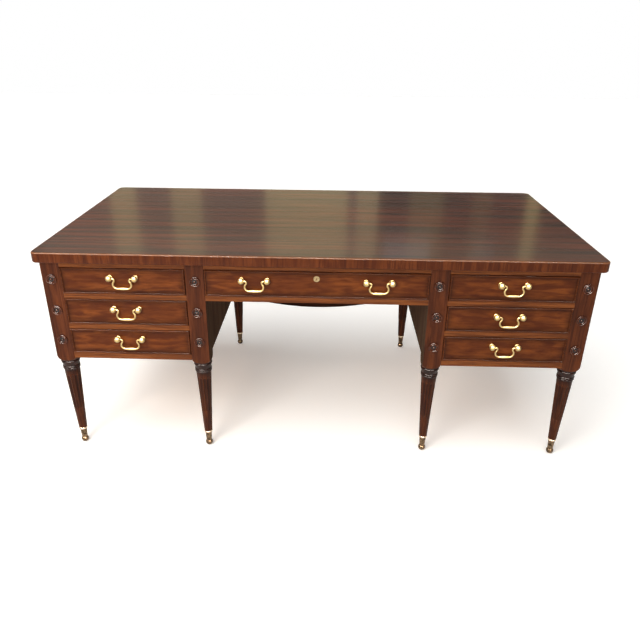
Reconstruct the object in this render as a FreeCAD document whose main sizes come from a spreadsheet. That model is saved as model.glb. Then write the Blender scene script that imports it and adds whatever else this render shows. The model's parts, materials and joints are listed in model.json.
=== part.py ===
"""Partners desk: two drawer pedestals on turned legs, joined by a kneehole drawer under one top.

Frame: millimetres, +X along the desk, -Y towards the sitter, +Z up, floor at Z = 0.
"""
import FreeCAD, Part
import Sketcher
import os

from FreeCAD import Placement, Rotation, Vector

DIMENSIONS = {
    # the whole desk
    "top_length": 1839,
    "top_depth": 924,
    "desk_height": 762,
    "kneehole_width": 732,
    # the top and its edge band
    "top_thickness": 35,
    "top_corner": 24,
    "band_thickness": 6,
    "arris": 4,
    "overhang": 20,
    # rails and the openings between them
    "top_rail": 19,
    "drawer_opening": 92,
    "middle_rail": 18.5,
    "bottom_rail": 21,
    "rail_depth": 45,
    # side panels, runners and boards
    "panel_thickness": 18,
    "panel_recess": 6,
    "runner_bearing": 18,
    "guide_height": 24,
    "bottom_board": 8,
    "bottom_board_lift": 3,
    "block_side": 28,
    "block_length": 60,
    # drawers
    "front_thickness": 22,
    "bead_width": 5,
    "bead_proud": 4,
    "drawer_gap": 1.5,
    "running_gap": 0.3,
    "side_thickness": 11,
    "side_height": 72,
    "box_length": 540,
    "back_thickness": 11,
    "drawer_bottom": 6,
    "drawer_bottom_lift": 8,
    # legs: square post, pommel, rings and fluted taper
    "post_width": 62,
    "leg_sides": 12,
    "pommel_top": 392,
    "pommel_belly_z": 371,
    "pommel_belly_radius": 40.5,
    "pommel_bottom": 361,
    "pommel_foot_radius": 31.5,
    "corner_clearance": 0.8,
    "neck_radius": 29,
    "collar_radius": 31.5,
    "collar_z": 351,
    "ring_radius": 29,
    "ring_neck_radius": 27.2,
    "upper_ring_z": 330.5,
    "lower_ring_z": 323.5,
    "ring_half": 3.5,
    "taper_top_z": 320,
    "taper_top_radius": 26.9,
    "taper_end_radius": 14.5,
    "flute_count": 12,
    "flute_sides": 6,
    "flute_top_z": 296,
    "flute_end_z": 156,
    "flute_top_radius": 6.2,
    "flute_end_radius": 4.5,
    "flute_stand_off": 1.8,
    # brass feet
    "foot_height": 66,
    "foot_ring_radius": 15,
    "foot_ring_height": 8,
    "foot_ring_bevel": 2,
    "socket_top_radius": 12.8,
    "socket_end_radius": 10.3,
    "ball_radius": 13.3,
    "ball_height": 25,
    "ball_lower_z": 8.5,
    "ball_upper_z": 15,
    "ball_flat_radius": 6,
    "foot_sides": 10,
    # rosettes
    "rosette_sides": 10,
    "rosette_radius": 17.5,
    "rosette_rim": 5,
    "rosette_rim_bevel": 1.25,
    "rosette_dish": 1.5,
    "rosette_button_radius": 8,
    "rosette_button": 4,
    "rosette_lift": 3,
    # pulls
    "pull_spacing": 84,
    "pull_lift": 13,
    "centre_pull_x": 202,
    "boss_sides": 10,
    "boss_radius": 10.5,
    "boss_reach": 12.5,
    "boss_length": 22.5,
    "boss_neck_radius": 5,
    "boss_neck_reach": 3.5,
    "boss_flange_radius": 8,
    "boss_crown_radius": 7.5,
    "boss_crown_reach": 19,
    "boss_tip_radius": 2.5,
    "pin_radius": 2,
    "pin_flat": 1.8,
    "pin_root": 0.5,
    "pin_length": 8,
    "pin_gap": 0.08,
    "bail_sides": 6,
    "bail_radius": 2.75,
    "bail_waist": 25,
    "bail_shoulder": 5.5,
    "bail_swan": 9,
    "bail_swan_angle": 40,
    "bail_drop": 34.5,
    "grip_radius": 5,
    # lock of the centre drawer
    "lock_sides": 12,
    "lock_lift": 21,
    "lock_flange_radius": 10,
    "lock_flange": 2,
    "lock_barrel_radius": 8,
    "lock_gap": 0.08,
    "plug_radius": 5.5,
    "keyway_width": 2,
    "keyway_height": 7,
    "keyway_depth": 4,
    "lock_case_width": 44,
    "lock_case_depth": 12,
    "lock_case_drop": 12,
    "bolt_width": 16,
    "bolt_thickness": 5,
    "bolt_throw": 7,
    "bolt_gap": 0.5,
    # kneehole aprons
    "apron_half_length": 200,
    "apron_end_height": 4,
    "apron_drop": 26,
    "apron_thickness": 16,
    "apron_setback": 28,
}

doc = FreeCAD.newDocument("partners_desk")
sheet = doc.addObject("Spreadsheet::Sheet", "Dims")
for row, (alias, value) in enumerate(DIMENSIONS.items(), start=1):
    sheet.set(f"A{row}", alias)
    sheet.set(f"B{row}", str(value))
    sheet.setAlias(f"B{row}", alias)
doc.recompute()

NODES = {}


def dim(name):
    """Expression that reads one driving dimension."""
    return f"Dims.{name}"


def number(expression):
    """Present value of an expression, for first guesses of sketch points."""
    value = sheet.evalExpression(str(expression))
    return float(getattr(value, "Value", value))


def bind(obj, expressions):
    """Ties properties of an object to expressions over the sheet."""
    for prop, expression in expressions.items():
        obj.setExpression(prop, str(expression))
    return obj


def at(obj, x="0", y="0", z="0"):
    """Ties the place of an object to expressions."""
    return bind(obj, {"Placement.Base.x": x, "Placement.Base.y": y, "Placement.Base.z": z})


def node(label, obj):
    """Names a finished sub-part, which becomes one file."""
    obj.Label = label
    NODES[label] = obj
    return obj


def board(name, x, y, z):
    """Rectangular board between pairs of low and high expressions."""
    box = doc.addObject("Part::Box", name)
    sizes = {"Length": x, "Width": y, "Height": z}
    bind(box, {prop: f"{high} - ({low})" for prop, (low, high) in sizes.items()})
    return at(box, x[0], y[0], z[0])


def group(name, members):
    """Several separate solids held as one object."""
    compound = doc.addObject("Part::Compound", name)
    compound.Links = members
    return compound


def placed(name, source, x, y, z, turn=None):
    """Copy of a finished shape, turned and then moved to its place."""
    copy = group(name, [source])
    if turn is not None:
        copy.Placement = Placement(Vector(), turn)
    return at(copy, x, y, z)


def cut(name, base, tool):
    """Base with the tool taken out of it."""
    result = doc.addObject("Part::Cut", name)
    result.Base = base
    result.Tool = tool
    return result


def origin_plane(body, role):
    """One of a body's own origin planes or axes."""
    return next(f for f in body.Origin.OriginFeatures if f.Role == role)


def new_sketch(body, plane, name, offset=None):
    """Sketch on an origin plane of its body, moved along the plane's own axes by expressions."""
    sketch = body.newObject("Sketcher::SketchObject", name)
    sketch.AttachmentSupport = [(origin_plane(body, plane), "")]
    sketch.MapMode = "FlatFace"
    for axis, expression in (offset or {}).items():
        sketch.setExpression(f"AttachmentOffset.Base.{axis}", expression)
    return sketch


ORIGIN = (-1, 1)
H_AXIS_INDEX = -1
V_AXIS_INDEX = -2


def pin_point(sketch, geometry, end, point):
    """Fixes one end of a sketch line or arc at a pair of expressions."""
    axes = (("DistanceX", V_AXIS_INDEX, point[0]), ("DistanceY", H_AXIS_INDEX, point[1]))
    for kind, axis_index, expression in axes:
        value = number(expression)
        if value == 0:
            sketch.addConstraint(Sketcher.Constraint("PointOnObject", geometry, end, axis_index))
            continue
        index = sketch.addConstraint(Sketcher.Constraint(kind, *ORIGIN, geometry, end, value))
        sketch.setExpression(f"Constraints[{index}]", str(expression))


def outline(sketch, points, closed=True):
    """Straight-sided outline through pairs of expressions."""
    places = [Vector(number(u), number(v), 0) for u, v in points]
    count = len(points) if closed else len(points) - 1
    for i in range(count):
        sketch.addGeometry(Part.LineSegment(places[i], places[(i + 1) % len(places)]), False)
    for i in range(count - (0 if closed else 1)):
        sketch.addConstraint(Sketcher.Constraint("Coincident", i, 2, (i + 1) % count, 1))
    for i in range(count):
        pin_point(sketch, i, 1, points[i])
    if not closed:
        pin_point(sketch, count - 1, 2, points[-1])
    return sketch


def turned(body, name, points):
    """Revolution of a half outline of radius and height about the body's Z axis."""
    sketch = outline(new_sketch(body, "XZ_Plane", f"{name}_profile"), points)
    turning = body.newObject("PartDesign::Revolution", name)
    turning.Profile = sketch
    turning.ReferenceAxis = (sketch, ["V_Axis"])
    turning.Angle = 360
    return turning


def new_body(name):
    """Empty solid body."""
    return doc.addObject("PartDesign::Body", name)


def padded(body, name, sketch, length):
    """Pad of a sketch along its normal."""
    pad = body.newObject("PartDesign::Pad", name)
    pad.Profile = sketch
    return bind(pad, {"Length": length})


# Planes and heights that several pieces share.
PULL_OUT = dim("boss_length")
MID_Y = f"(max(0; {PULL_OUT} - Dims.overhang) / 2)"
FRONT_Y = f"({MID_Y} - Dims.top_depth / 2 + Dims.overhang)"
BACK_Y = f"({MID_Y} + Dims.top_depth / 2 - Dims.overhang)"
UNDER_TOP = "(Dims.desk_height - Dims.top_thickness)"
OUTER_X = "(Dims.top_length / 2 - Dims.overhang)"
POST_OUTER_X = f"({OUTER_X} - Dims.post_width / 2)"
POST_INNER_X = "(Dims.kneehole_width / 2 + Dims.post_width / 2)"
POST_FRONT_Y = f"({FRONT_Y} + Dims.post_width / 2)"
POST_BACK_Y = f"({BACK_Y} - Dims.post_width / 2)"
BAY_IN = "(Dims.kneehole_width / 2 + Dims.post_width)"
BAY_OUT = f"({OUTER_X} - Dims.post_width)"
KNEE = "(Dims.kneehole_width / 2)"
RAIL_BACK_Y = f"({FRONT_Y} + Dims.rail_depth)"
BACK_RAIL_Y = f"({BACK_Y} - Dims.rail_depth)"
PITCH = "(Dims.drawer_opening + Dims.middle_rail)"
OPENING_TOP = [f"({UNDER_TOP} - Dims.top_rail - {i} * {PITCH})" for i in range(3)]
OPENING_END = [f"({top} - Dims.drawer_opening)" for top in OPENING_TOP]
PEDESTAL_END = f"({OPENING_END[2]} - Dims.bottom_rail)"
PANEL_OUT_IN = f"({OUTER_X} - Dims.panel_recess - Dims.panel_thickness)"
PANEL_KNEE_FACE = f"({KNEE} + Dims.panel_recess)"
PANEL_KNEE_IN = f"({PANEL_KNEE_FACE} + Dims.panel_thickness)"
BOLT_BACK_Y = f"({FRONT_Y} + Dims.front_thickness + (Dims.lock_case_depth + Dims.bolt_thickness) / 2)"
BOLT_Y = (f"({BOLT_BACK_Y} - Dims.bolt_thickness)", BOLT_BACK_Y)
SIDES = {"left": -1, "right": 1}
LEVELS = ("top", "middle", "bottom")
SWAN_STEPS = (0.5, 1)
SWELL_STEPS = (0.25, 0.5, 0.75, 1)
FACING_OUT = Rotation(Vector(1, 0, 0), 90)
FACING_OUT_TURNED = FACING_OUT * Rotation(Vector(0, 0, 1), 180)


def minus(expression):
    """Expression with its sign changed."""
    return f"(-{expression})"


def sided(sign, low, high):
    """Span in X on the left or right half of the desk, from distances off the middle."""
    return (low, high) if sign > 0 else (minus(high), minus(low))


def opening_centre(level):
    """Height of the middle of a drawer opening."""
    return f"({OPENING_END[level]} + Dims.drawer_opening / 2)"


def edge_names(shape, wanted):
    """Names of the edges of a shape that answer a test of their box."""
    return [f"Edge{i}" for i, edge in enumerate(shape.Edges, start=1) if wanted(edge.BoundBox)]


def make_top():
    """Top panel with rounded corners, and the cross-grain band round its edge."""

    def slab(name, inset):
        body = new_body(name)
        length = f"Dims.top_length - 2 * {inset}"
        depth = f"Dims.top_depth - 2 * {inset}"
        corners = [("0", "0"), (length, "0"), (length, depth), ("0", depth)]
        pad = padded(body, f"{name}_pad", outline(new_sketch(body, "XY_Plane", f"{name}_plan"), corners),
                     dim("top_thickness"))
        doc.recompute()
        rounding = body.newObject("PartDesign::Fillet", f"{name}_corners")
        rounding.Base = (pad, edge_names(pad.Shape, lambda box: box.ZLength > box.XLength + box.YLength))
        rounding.setExpression("Radius", f"Dims.top_corner - {inset}")
        at(body, f"-({length}) / 2", f"{MID_Y} - ({depth}) / 2", UNDER_TOP)
        return body, rounding

    core, _ = slab("top_core", dim("band_thickness"))
    node("desk_top", core)
    blank, rounding = slab("band_blank", "0")
    doc.recompute()
    upper = rounding.Shape.BoundBox.Center.z
    arris = blank.newObject("PartDesign::Chamfer", "band_arris")
    arris.Base = (rounding, edge_names(rounding.Shape, lambda box: box.ZMin > upper))
    arris.setExpression("Size", dim("arris"))
    node("top_edge_band", cut("edge_band", blank, core))


def lofted(name, sides, stations):
    """Solid with flat facets through regular polygons, each given by its radius, X, Z and tilt about Y."""
    count = int(number(sides))
    rings = []
    for radius, x, z, tilt in stations:
        place = Placement(Vector(number(x), 0, number(z)), Rotation(Vector(0, 1, 0), number(tilt)))
        spokes = [Rotation(Vector(0, 0, 1), 360 / count * i) for i in range(count)]
        rings.append([place.multVec(spoke.multVec(Vector(number(radius), 0, 0))) for spoke in spokes])
    facets = [rings[0], rings[-1]]
    for near, far in zip(rings, rings[1:]):
        facets += [[near[i - 1], near[i], far[i], far[i - 1]] for i in range(count)]
    shell = Part.Shell([Part.Face(Part.makePolygon(facet + facet[:1])) for facet in facets])
    solid = doc.addObject("Part::Feature", name)
    solid.Shape = Part.Solid(shell)
    if solid.Shape.Volume < 0:
        solid.Shape = solid.Shape.reversed()
    return solid


def faceted(name, sides, profile):
    """Turned piece with a few flat facets, from pairs of radius and height."""
    return lofted(name, sides, [(radius, "0", z, "0") for radius, z in profile])


def make_leg_pattern():
    """Square post that the lathe rounds off at a pommel, then a collar, two beads and a stop-fluted taper."""
    neck, ring, half = dim("ring_neck_radius"), dim("ring_radius"), dim("ring_half")
    corner = "(Dims.post_width / 2 * sqrt(2) + Dims.corner_clearance)"
    turning = faceted("leg_turning", dim("leg_sides"), [
        (dim("taper_end_radius"), dim("foot_height")),
        (dim("taper_top_radius"), dim("taper_top_z")),
        (ring, dim("lower_ring_z")),
        (neck, "(Dims.lower_ring_z + Dims.upper_ring_z) / 2"),
        (ring, dim("upper_ring_z")),
        (neck, f"Dims.upper_ring_z + {half}"),
        (dim("collar_radius"), dim("collar_z")),
        (dim("neck_radius"), f"Dims.collar_z + {half}"),
        (dim("pommel_foot_radius"), dim("pommel_bottom")),
        (dim("pommel_belly_radius"), dim("pommel_belly_z")),
        (corner, dim("pommel_top")),
        (corner, UNDER_TOP),
    ])
    slope = "((Dims.taper_top_radius - Dims.taper_end_radius) / (Dims.taper_top_z - Dims.foot_height))"

    def flute_station(radius, z):
        surface = f"Dims.taper_end_radius + {slope} * ({z} - Dims.foot_height)"
        return (radius, f"{surface} + Dims.flute_stand_off", z, "0")

    flute = lofted("flute", dim("flute_sides"), [
        flute_station(dim("flute_end_radius"), dim("flute_end_z")),
        flute_station(dim("flute_top_radius"), dim("flute_top_z")),
    ])
    count = int(number(dim("flute_count")))
    flutes = [placed(f"flute_{i}", flute, "0", "0", "0", Rotation(Vector(0, 0, 1), 360 / count * i))
              for i in range(count)]
    width = ("-Dims.post_width / 2", "Dims.post_width / 2")
    square = board("post_square", width, width, ("0", UNDER_TOP))
    squared = doc.addObject("Part::Common", "leg_squared")
    squared.Base = turning
    squared.Tool = square
    return cut("leg_pattern", squared, group("flute_set", flutes))


def make_foot_pattern():
    """Brass foot under the leg's tip: a ring, a tapered socket and a ball with a small flat."""
    ring_end = "(Dims.foot_height - Dims.foot_ring_height)"
    return faceted("foot_pattern", dim("foot_sides"), [
        (dim("ball_flat_radius"), "0"),
        (dim("ball_radius"), dim("ball_lower_z")),
        (dim("ball_radius"), dim("ball_upper_z")),
        (dim("socket_end_radius"), dim("ball_height")),
        (dim("socket_top_radius"), ring_end),
        (dim("foot_ring_radius"), f"{ring_end} + Dims.foot_ring_bevel"),
        (dim("foot_ring_radius"), dim("foot_height")),
    ])


def make_rosette_pattern():
    """Turned rosette: a raised rim, a dished ring and a flat button."""
    return faceted("rosette_pattern", dim("rosette_sides"), [
        (dim("rosette_radius"), "0"),
        ("Dims.rosette_radius - Dims.rosette_rim_bevel", dim("rosette_rim")),
        ("(Dims.rosette_radius + Dims.rosette_button_radius) / 2", dim("rosette_dish")),
        (dim("rosette_button_radius"), dim("rosette_button")),
    ])


def make_leg_nodes():
    """Eight legs with their brass feet, and the rosettes of the front posts."""
    leg = make_leg_pattern()
    foot = make_foot_pattern()
    rosette = make_rosette_pattern()
    feet = []
    rosettes = []
    for row, y in (("front", POST_FRONT_Y), ("back", POST_BACK_Y)):
        for side, sign in SIDES.items():
            for place, off in (("outer", POST_OUTER_X), ("inner", POST_INNER_X)):
                x = off if sign > 0 else minus(off)
                name = f"{row}_{place}_{side}"
                node(f"leg_{name}", placed(f"leg_{name}", leg, x, y, "0"))
                feet.append(placed(f"foot_{name}", foot, x, y, "0"))
                if row == "front":
                    rosettes += [
                        placed(f"rosette_{name}_{level}", rosette, x, FRONT_Y,
                               f"{opening_centre(level)} + Dims.rosette_lift", FACING_OUT)
                        for level in range(3)
                    ]
    node("brass_feet", group("feet", feet))
    node("rosettes", group("rosette_set", rosettes))


def rail_heights(levels):
    """Heights of the rails above, between and below the drawers of a bay with so many levels."""
    spans = [(OPENING_TOP[0], UNDER_TOP)]
    spans += [(OPENING_TOP[i + 1], OPENING_END[i]) for i in range(levels - 1)]
    last = PEDESTAL_END if levels == 3 else OPENING_TOP[1]
    return spans + [(last, OPENING_END[levels - 1])]


def make_rails():
    """Front and back rails between the posts; the centre top rail is mortised for the lock bolt."""
    back = []
    for side, sign in SIDES.items():
        x = sided(sign, BAY_IN, BAY_OUT)
        front = []
        for i, z in enumerate(rail_heights(3)):
            front.append(board(f"rail_{side}_{i}", x, (FRONT_Y, RAIL_BACK_Y), z))
            back.append(board(f"back_rail_{side}_{i}", x, (BACK_RAIL_Y, BACK_Y), z))
        node(f"front_rails_{side}", group(f"rails_{side}", front))
    x = (minus(KNEE), KNEE)
    over, under = rail_heights(1)
    upper = board("knee_rail_upper", x, (FRONT_Y, RAIL_BACK_Y), over)
    lower = board("knee_rail_lower", x, (FRONT_Y, RAIL_BACK_Y), under)
    gap = dim("bolt_gap")
    mortise = board(
        "bolt_mortise",
        (f"-Dims.bolt_width / 2 - {gap}", f"Dims.bolt_width / 2 + {gap}"),
        (f"{BOLT_Y[0]} - {gap}", f"{BOLT_Y[1]} + {gap}"),
        (f"{OPENING_TOP[0]} - {gap}", f"{OPENING_TOP[0]} + Dims.bolt_throw + {gap}"),
    )
    node("front_rails_kneehole", group("knee_rails", [cut("knee_rail_mortised", upper, mortise), lower]))
    back.append(board("back_knee_rail_upper", x, (BACK_RAIL_Y, BACK_Y), over))
    back.append(board("back_knee_rail_lower", x, (BACK_RAIL_Y, BACK_Y), under))
    node("back_rails", group("back_rail_set", back))


def bead_strip(name, corner, along, inward, length, depth):
    """Mitred cockbead strip: its long edge starts at a corner and runs along, its mitres close inwards."""
    strip = doc.addObject("Part::Wedge", name)
    strip.Placement = Placement(Vector(), Rotation(along, inward, along.cross(inward), "XYZ"))
    bind(strip, {
        "Xmin": "0", "Ymin": "0", "Zmin": "0", "Z2min": "0",
        "Xmax": length, "Ymax": dim("bead_width"), "Zmax": depth, "Z2max": depth,
        "X2min": dim("bead_width"), "X2max": f"{length} - Dims.bead_width",
    })
    return at(strip, *corner)


def bead_frame(name, x, y, z):
    """Four mitred strips round a panel, filling the given spans."""
    right, up = Vector(1, 0, 0), Vector(0, 0, 1)
    wide = f"({x[1]} - ({x[0]}))"
    high = f"({z[1]} - ({z[0]}))"
    deep = f"({y[1]} - ({y[0]}))"
    return [
        bead_strip(f"{name}_foot", (x[0], y[1], z[0]), right, up, wide, deep),
        bead_strip(f"{name}_head", (x[0], y[0], z[1]), right, -up, wide, deep),
        bead_strip(f"{name}_left", (x[0], y[0], z[0]), up, right, high, deep),
        bead_strip(f"{name}_right", (x[1], y[1], z[0]), up, -right, high, deep),
    ]


def inset(span, distance):
    """Span drawn in at both ends."""
    return (f"({span[0]} + {distance})", f"({span[1]} - {distance})")


def make_back_panels():
    """Fixed panels of the back, laid out as the drawers are, each in its bead."""
    panels = []
    beads = []
    bays = {f"{side}_{level}": (sided(sign, BAY_IN, BAY_OUT), i)
            for side, sign in SIDES.items() for i, level in enumerate(LEVELS)}
    bays["knee"] = ((minus(KNEE), KNEE), 0)
    for name, (x, level) in bays.items():
        z = (OPENING_END[level], OPENING_TOP[level])
        rear = f"({BACK_Y} - Dims.front_thickness)"
        bead = dim("bead_width")
        panels.append(board(f"back_panel_{name}", inset(x, bead), (rear, BACK_Y), inset(z, bead)))
        beads += bead_frame(f"back_bead_{name}", x, (rear, f"({BACK_Y} + Dims.bead_proud)"), z)
    node("back_panels", group("back_panel_set", panels))
    node("back_beads", group("back_bead_set", beads))


def make_carcase():
    """Side panels, runners, guides, kickers, bottom boards, glue blocks and the kneehole aprons."""
    between_posts = (f"({FRONT_Y} + Dims.post_width)", f"({BACK_Y} - Dims.post_width)")
    between_rails = (RAIL_BACK_Y, BACK_RAIL_Y)
    full_height = (PEDESTAL_END, UNDER_TOP)
    runners, guides, kickers, floors, blocks = [], [], [], [], []
    for side, sign in SIDES.items():
        outer = sided(sign, PANEL_OUT_IN, f"({OUTER_X} - Dims.panel_recess)")
        inner = sided(sign, PANEL_KNEE_FACE, PANEL_KNEE_IN)
        node(f"side_panel_outer_{side}", board(f"outer_panel_{side}", outer, between_posts, full_height))
        node(f"side_panel_inner_{side}", board(f"inner_panel_{side}", inner, between_posts, full_height))
        seats = {
            "in": ((PANEL_KNEE_IN, f"({BAY_IN} + Dims.runner_bearing)"), (PANEL_KNEE_IN, BAY_IN)),
            "out": ((f"({BAY_OUT} - Dims.runner_bearing)", PANEL_OUT_IN), (BAY_OUT, PANEL_OUT_IN)),
        }
        for seat, (runner_x, guide_x) in seats.items():
            for i, z in enumerate(rail_heights(3)):
                strip = board(f"runner_{side}_{seat}_{i}", sided(sign, *runner_x), between_posts, z)
                (runners if i else kickers).append(strip)
            for i in range(3):
                z = (OPENING_END[i], f"({OPENING_END[i]} + Dims.guide_height)")
                guides.append(board(f"guide_{side}_{seat}_{i}", sided(sign, *guide_x), between_posts, z))
        knee_runner = sided(sign, f"({KNEE} - Dims.runner_bearing)", PANEL_KNEE_FACE)
        knee_guide = sided(sign, KNEE, PANEL_KNEE_FACE)
        kick, run = rail_heights(1)
        kickers.append(board(f"knee_kicker_{side}", knee_runner, between_posts, kick))
        runners.append(board(f"knee_runner_{side}", knee_runner, between_posts, run))
        knee_guide_z = (OPENING_END[0], f"({OPENING_END[0]} + Dims.guide_height)")
        guides.append(board(f"knee_guide_{side}", knee_guide, between_posts, knee_guide_z))
        floor_x = sided(sign, seats["in"][0][1], seats["out"][0][0])
        floor_low = f"({PEDESTAL_END} + Dims.bottom_board_lift)"
        floor_z = (floor_low, f"({floor_low} + Dims.bottom_board)")
        floors.append(board(f"floor_{side}", floor_x, between_rails, floor_z))
        block_x = sided(sign, f"({seats['out'][0][0]} - Dims.block_side)", seats["out"][0][0])
        for i, y in enumerate((RAIL_BACK_Y, f"({MID_Y} - Dims.block_length / 2)",
                               f"({BACK_RAIL_Y} - Dims.block_length)")):
            span = (y, f"({y} + Dims.block_length)")
            blocks.append(board(f"block_{side}_{i}", block_x, span, (OPENING_TOP[0], UNDER_TOP)))
    node("drawer_runners", group("runner_set", runners))
    node("drawer_guides", group("guide_set", guides))
    node("kickers", group("kicker_set", kickers))
    node("bottom_boards", group("floor_set", floors))
    node("glue_blocks", group("block_set", blocks))


def make_aprons():
    """Shallow apron under each kneehole rail, its lower edge one long arc."""
    aprons = []
    half, end, drop = dim("apron_half_length"), dim("apron_end_height"), dim("apron_drop")
    sag = f"({drop} - {end})"
    radius = f"(({half} ^ 2 + {sag} ^ 2) / (2 * {sag}))"
    setback = dim("apron_setback")
    places = {
        "front": f"({FRONT_Y} + {setback})",
        "back": f"({BACK_Y} - {setback} - Dims.apron_thickness)",
    }
    for name, y in places.items():
        body = new_body(f"apron_{name}")
        sketch = new_sketch(body, "XZ_Plane", f"apron_{name}_outline")
        low = number(sag)
        width = number(half) * 2
        far = f"2 * {half}"
        outline(sketch, [("0", sag), ("0", drop), (far, drop), (far, sag)], closed=False)
        arc = Part.Arc(Vector(0, low, 0), Vector(width / 2, 0, 0), Vector(width, low, 0))
        sketch.addGeometry(arc, False)
        sketch.addConstraint(Sketcher.Constraint("Coincident", 3, 1, 0, 1))
        sketch.addConstraint(Sketcher.Constraint("Coincident", 3, 2, 2, 2))
        index = sketch.addConstraint(Sketcher.Constraint("Radius", 3, number(radius)))
        sketch.setExpression(f"Constraints[{index}]", radius)
        pad = padded(body, f"apron_{name}_pad", sketch, dim("apron_thickness"))
        pad.Reversed = True
        aprons.append(at(body, minus(half), y, f"{OPENING_TOP[1]} - {drop}"))
    node("kneehole_aprons", group("apron_set", aprons))


def make_drawer(name, x, level, lock_hole=None):
    """Drawer front in its cockbead, and a box of two sides, a back and a bottom behind it."""
    front_x = inset(x, dim("drawer_gap"))
    front_z = inset((OPENING_END[level], OPENING_TOP[level]), dim("drawer_gap"))
    rear = f"({FRONT_Y} + Dims.front_thickness)"
    bead = dim("bead_width")
    panel = board(f"front_{name}", inset(front_x, bead), (FRONT_Y, rear), inset(front_z, bead))
    if lock_hole is not None:
        panel = cut(f"front_{name}_bored", panel, lock_hole)
    beads = bead_frame(f"bead_{name}", front_x, (f"({FRONT_Y} - Dims.bead_proud)", rear), front_z)
    node(f"drawer_front_{name}", group(f"front_set_{name}", [panel] + beads))
    tail = f"({rear} + Dims.box_length)"
    low = f"({OPENING_END[level]} + Dims.running_gap)"
    high = f"({low} + Dims.side_height)"
    thick = dim("side_thickness")
    left = (front_x[0], f"({front_x[0]} + {thick})")
    right = (f"({front_x[1]} - {thick})", front_x[1])
    within = (left[1], right[0])
    floor = f"({low} + Dims.drawer_bottom_lift)"
    floor_top = f"({floor} + Dims.drawer_bottom)"
    box = [
        board(f"side_left_{name}", left, (rear, tail), (low, high)),
        board(f"side_right_{name}", right, (rear, tail), (low, high)),
        board(f"back_{name}", within, (f"({tail} - Dims.back_thickness)", tail), (floor_top, high)),
        board(f"bottom_{name}", within, (rear, tail), (floor, floor_top)),
    ]
    node(f"drawer_box_{name}", group(f"box_set_{name}", box))


def make_boss_pattern():
    """Ball-headed pull post, bored across for the bail's pin."""
    blank = faceted("boss_blank", dim("boss_sides"), [
        (dim("boss_flange_radius"), "0"),
        (dim("boss_neck_radius"), dim("boss_neck_reach")),
        (dim("boss_radius"), dim("boss_reach")),
        (dim("boss_crown_radius"), dim("boss_crown_reach")),
        (dim("boss_tip_radius"), dim("boss_length")),
    ])
    hole = doc.addObject("Part::Prism", "pin_hole")
    hole.Placement = Placement(Vector(), Rotation(Vector(0, 1, 0), 90))
    bind(hole, {
        "Polygon": dim("bail_sides"),
        "Circumradius": "(Dims.pin_radius + Dims.pin_gap) / cos(180 deg / Dims.bail_sides)",
        "Height": dim("boss_radius"),
    })
    at(hole, "Dims.boss_radius - Dims.running_gap - Dims.pin_length", "0", dim("boss_reach"))
    return cut("boss_pattern", blank, hole)


def make_pin_pattern():
    """Round pin with narrow flats, as turned from the bail's own rod, and its root in the rod."""
    length = "Dims.pin_length + Dims.pin_root"
    stock = doc.addObject("Part::Prism", "pin_stock")
    bind(stock, {
        "Polygon": dim("bail_sides"),
        "Circumradius": "Dims.pin_flat / cos(180 deg / Dims.bail_sides)",
        "Height": length,
    })
    lathe = doc.addObject("Part::Cylinder", "pin_lathe")
    bind(lathe, {"Radius": dim("pin_radius"), "Height": length})
    pin = doc.addObject("Part::Common", "pin_pattern")
    pin.Base = stock
    pin.Tool = lathe
    return pin


def make_bail_pattern():
    """Swan-necked bail: a rod that turns down from each pin, in, out again and along to a thicker grip."""
    rod = dim("bail_radius")
    shoulder, swan, swan_turn = dim("bail_shoulder"), dim("bail_swan"), dim("bail_swan_angle")
    rod_end = "(Dims.pull_spacing / 2 - Dims.boss_radius - Dims.running_gap)"
    bend = f"({swan_turn} * 1 deg)"
    swell = f"((Dims.bail_drop - {shoulder} - {swan} * sin({bend})) / (1 + sin({bend})))"
    swell_x = f"(Dims.bail_waist + {swan} - ({swan} + {swell}) * cos({bend}))"
    swell_z = f"({swell} - Dims.bail_drop)"

    def on_arc(radius, x, z, heading, side):
        """Point of an arc where the rod has the given heading, with its centre on the given side."""
        angle = f"({heading} * 1 deg)"
        place_x = f"{x} + {side} * {radius} * cos{angle}"
        place_z = f"{z} - {side} * {radius} * sin{angle}"
        return (rod, place_x, place_z, angle)

    stations = [(rod, rod_end, "0", "-90 deg")]
    stations += [on_arc(shoulder, f"Dims.bail_waist + {shoulder}", minus(shoulder), heading, 1)
                 for heading in ("-90", "-135", "-180")]
    swan_x = f"Dims.bail_waist + {swan}"
    stations += [on_arc(swan, swan_x, minus(shoulder), f"(-180 - {swan_turn} * {share})", 1)
                 for share in SWAN_STEPS]
    swell_turn = f"(90 + {swan_turn})"
    stations += [on_arc(swell, swell_x, swell_z, f"(-180 - {swan_turn} + {swell_turn} * {share})", -1)
                 for share in SWELL_STEPS]
    mirrored = [(radius, f"-({x})", z, f"-180 deg - ({tilt})") for radius, x, z, tilt in reversed(stations)]
    grip = (dim("grip_radius"), "0", "-Dims.bail_drop", "-90 deg")
    bow = lofted("bail_bow", dim("bail_sides"), stations + [grip] + mirrored)
    pin = make_pin_pattern()
    pins = [placed(f"bail_pin_{side}", pin, f"{sign} * ({rod_end} - Dims.pin_root)", "0", "0",
                   Rotation(Vector(0, 1, 0), 90 * sign))
            for side, sign in SIDES.items()]
    pinned = doc.addObject("Part::MultiFuse", "bail_pattern")
    pinned.Shapes = [bow] + pins
    return pinned


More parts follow.
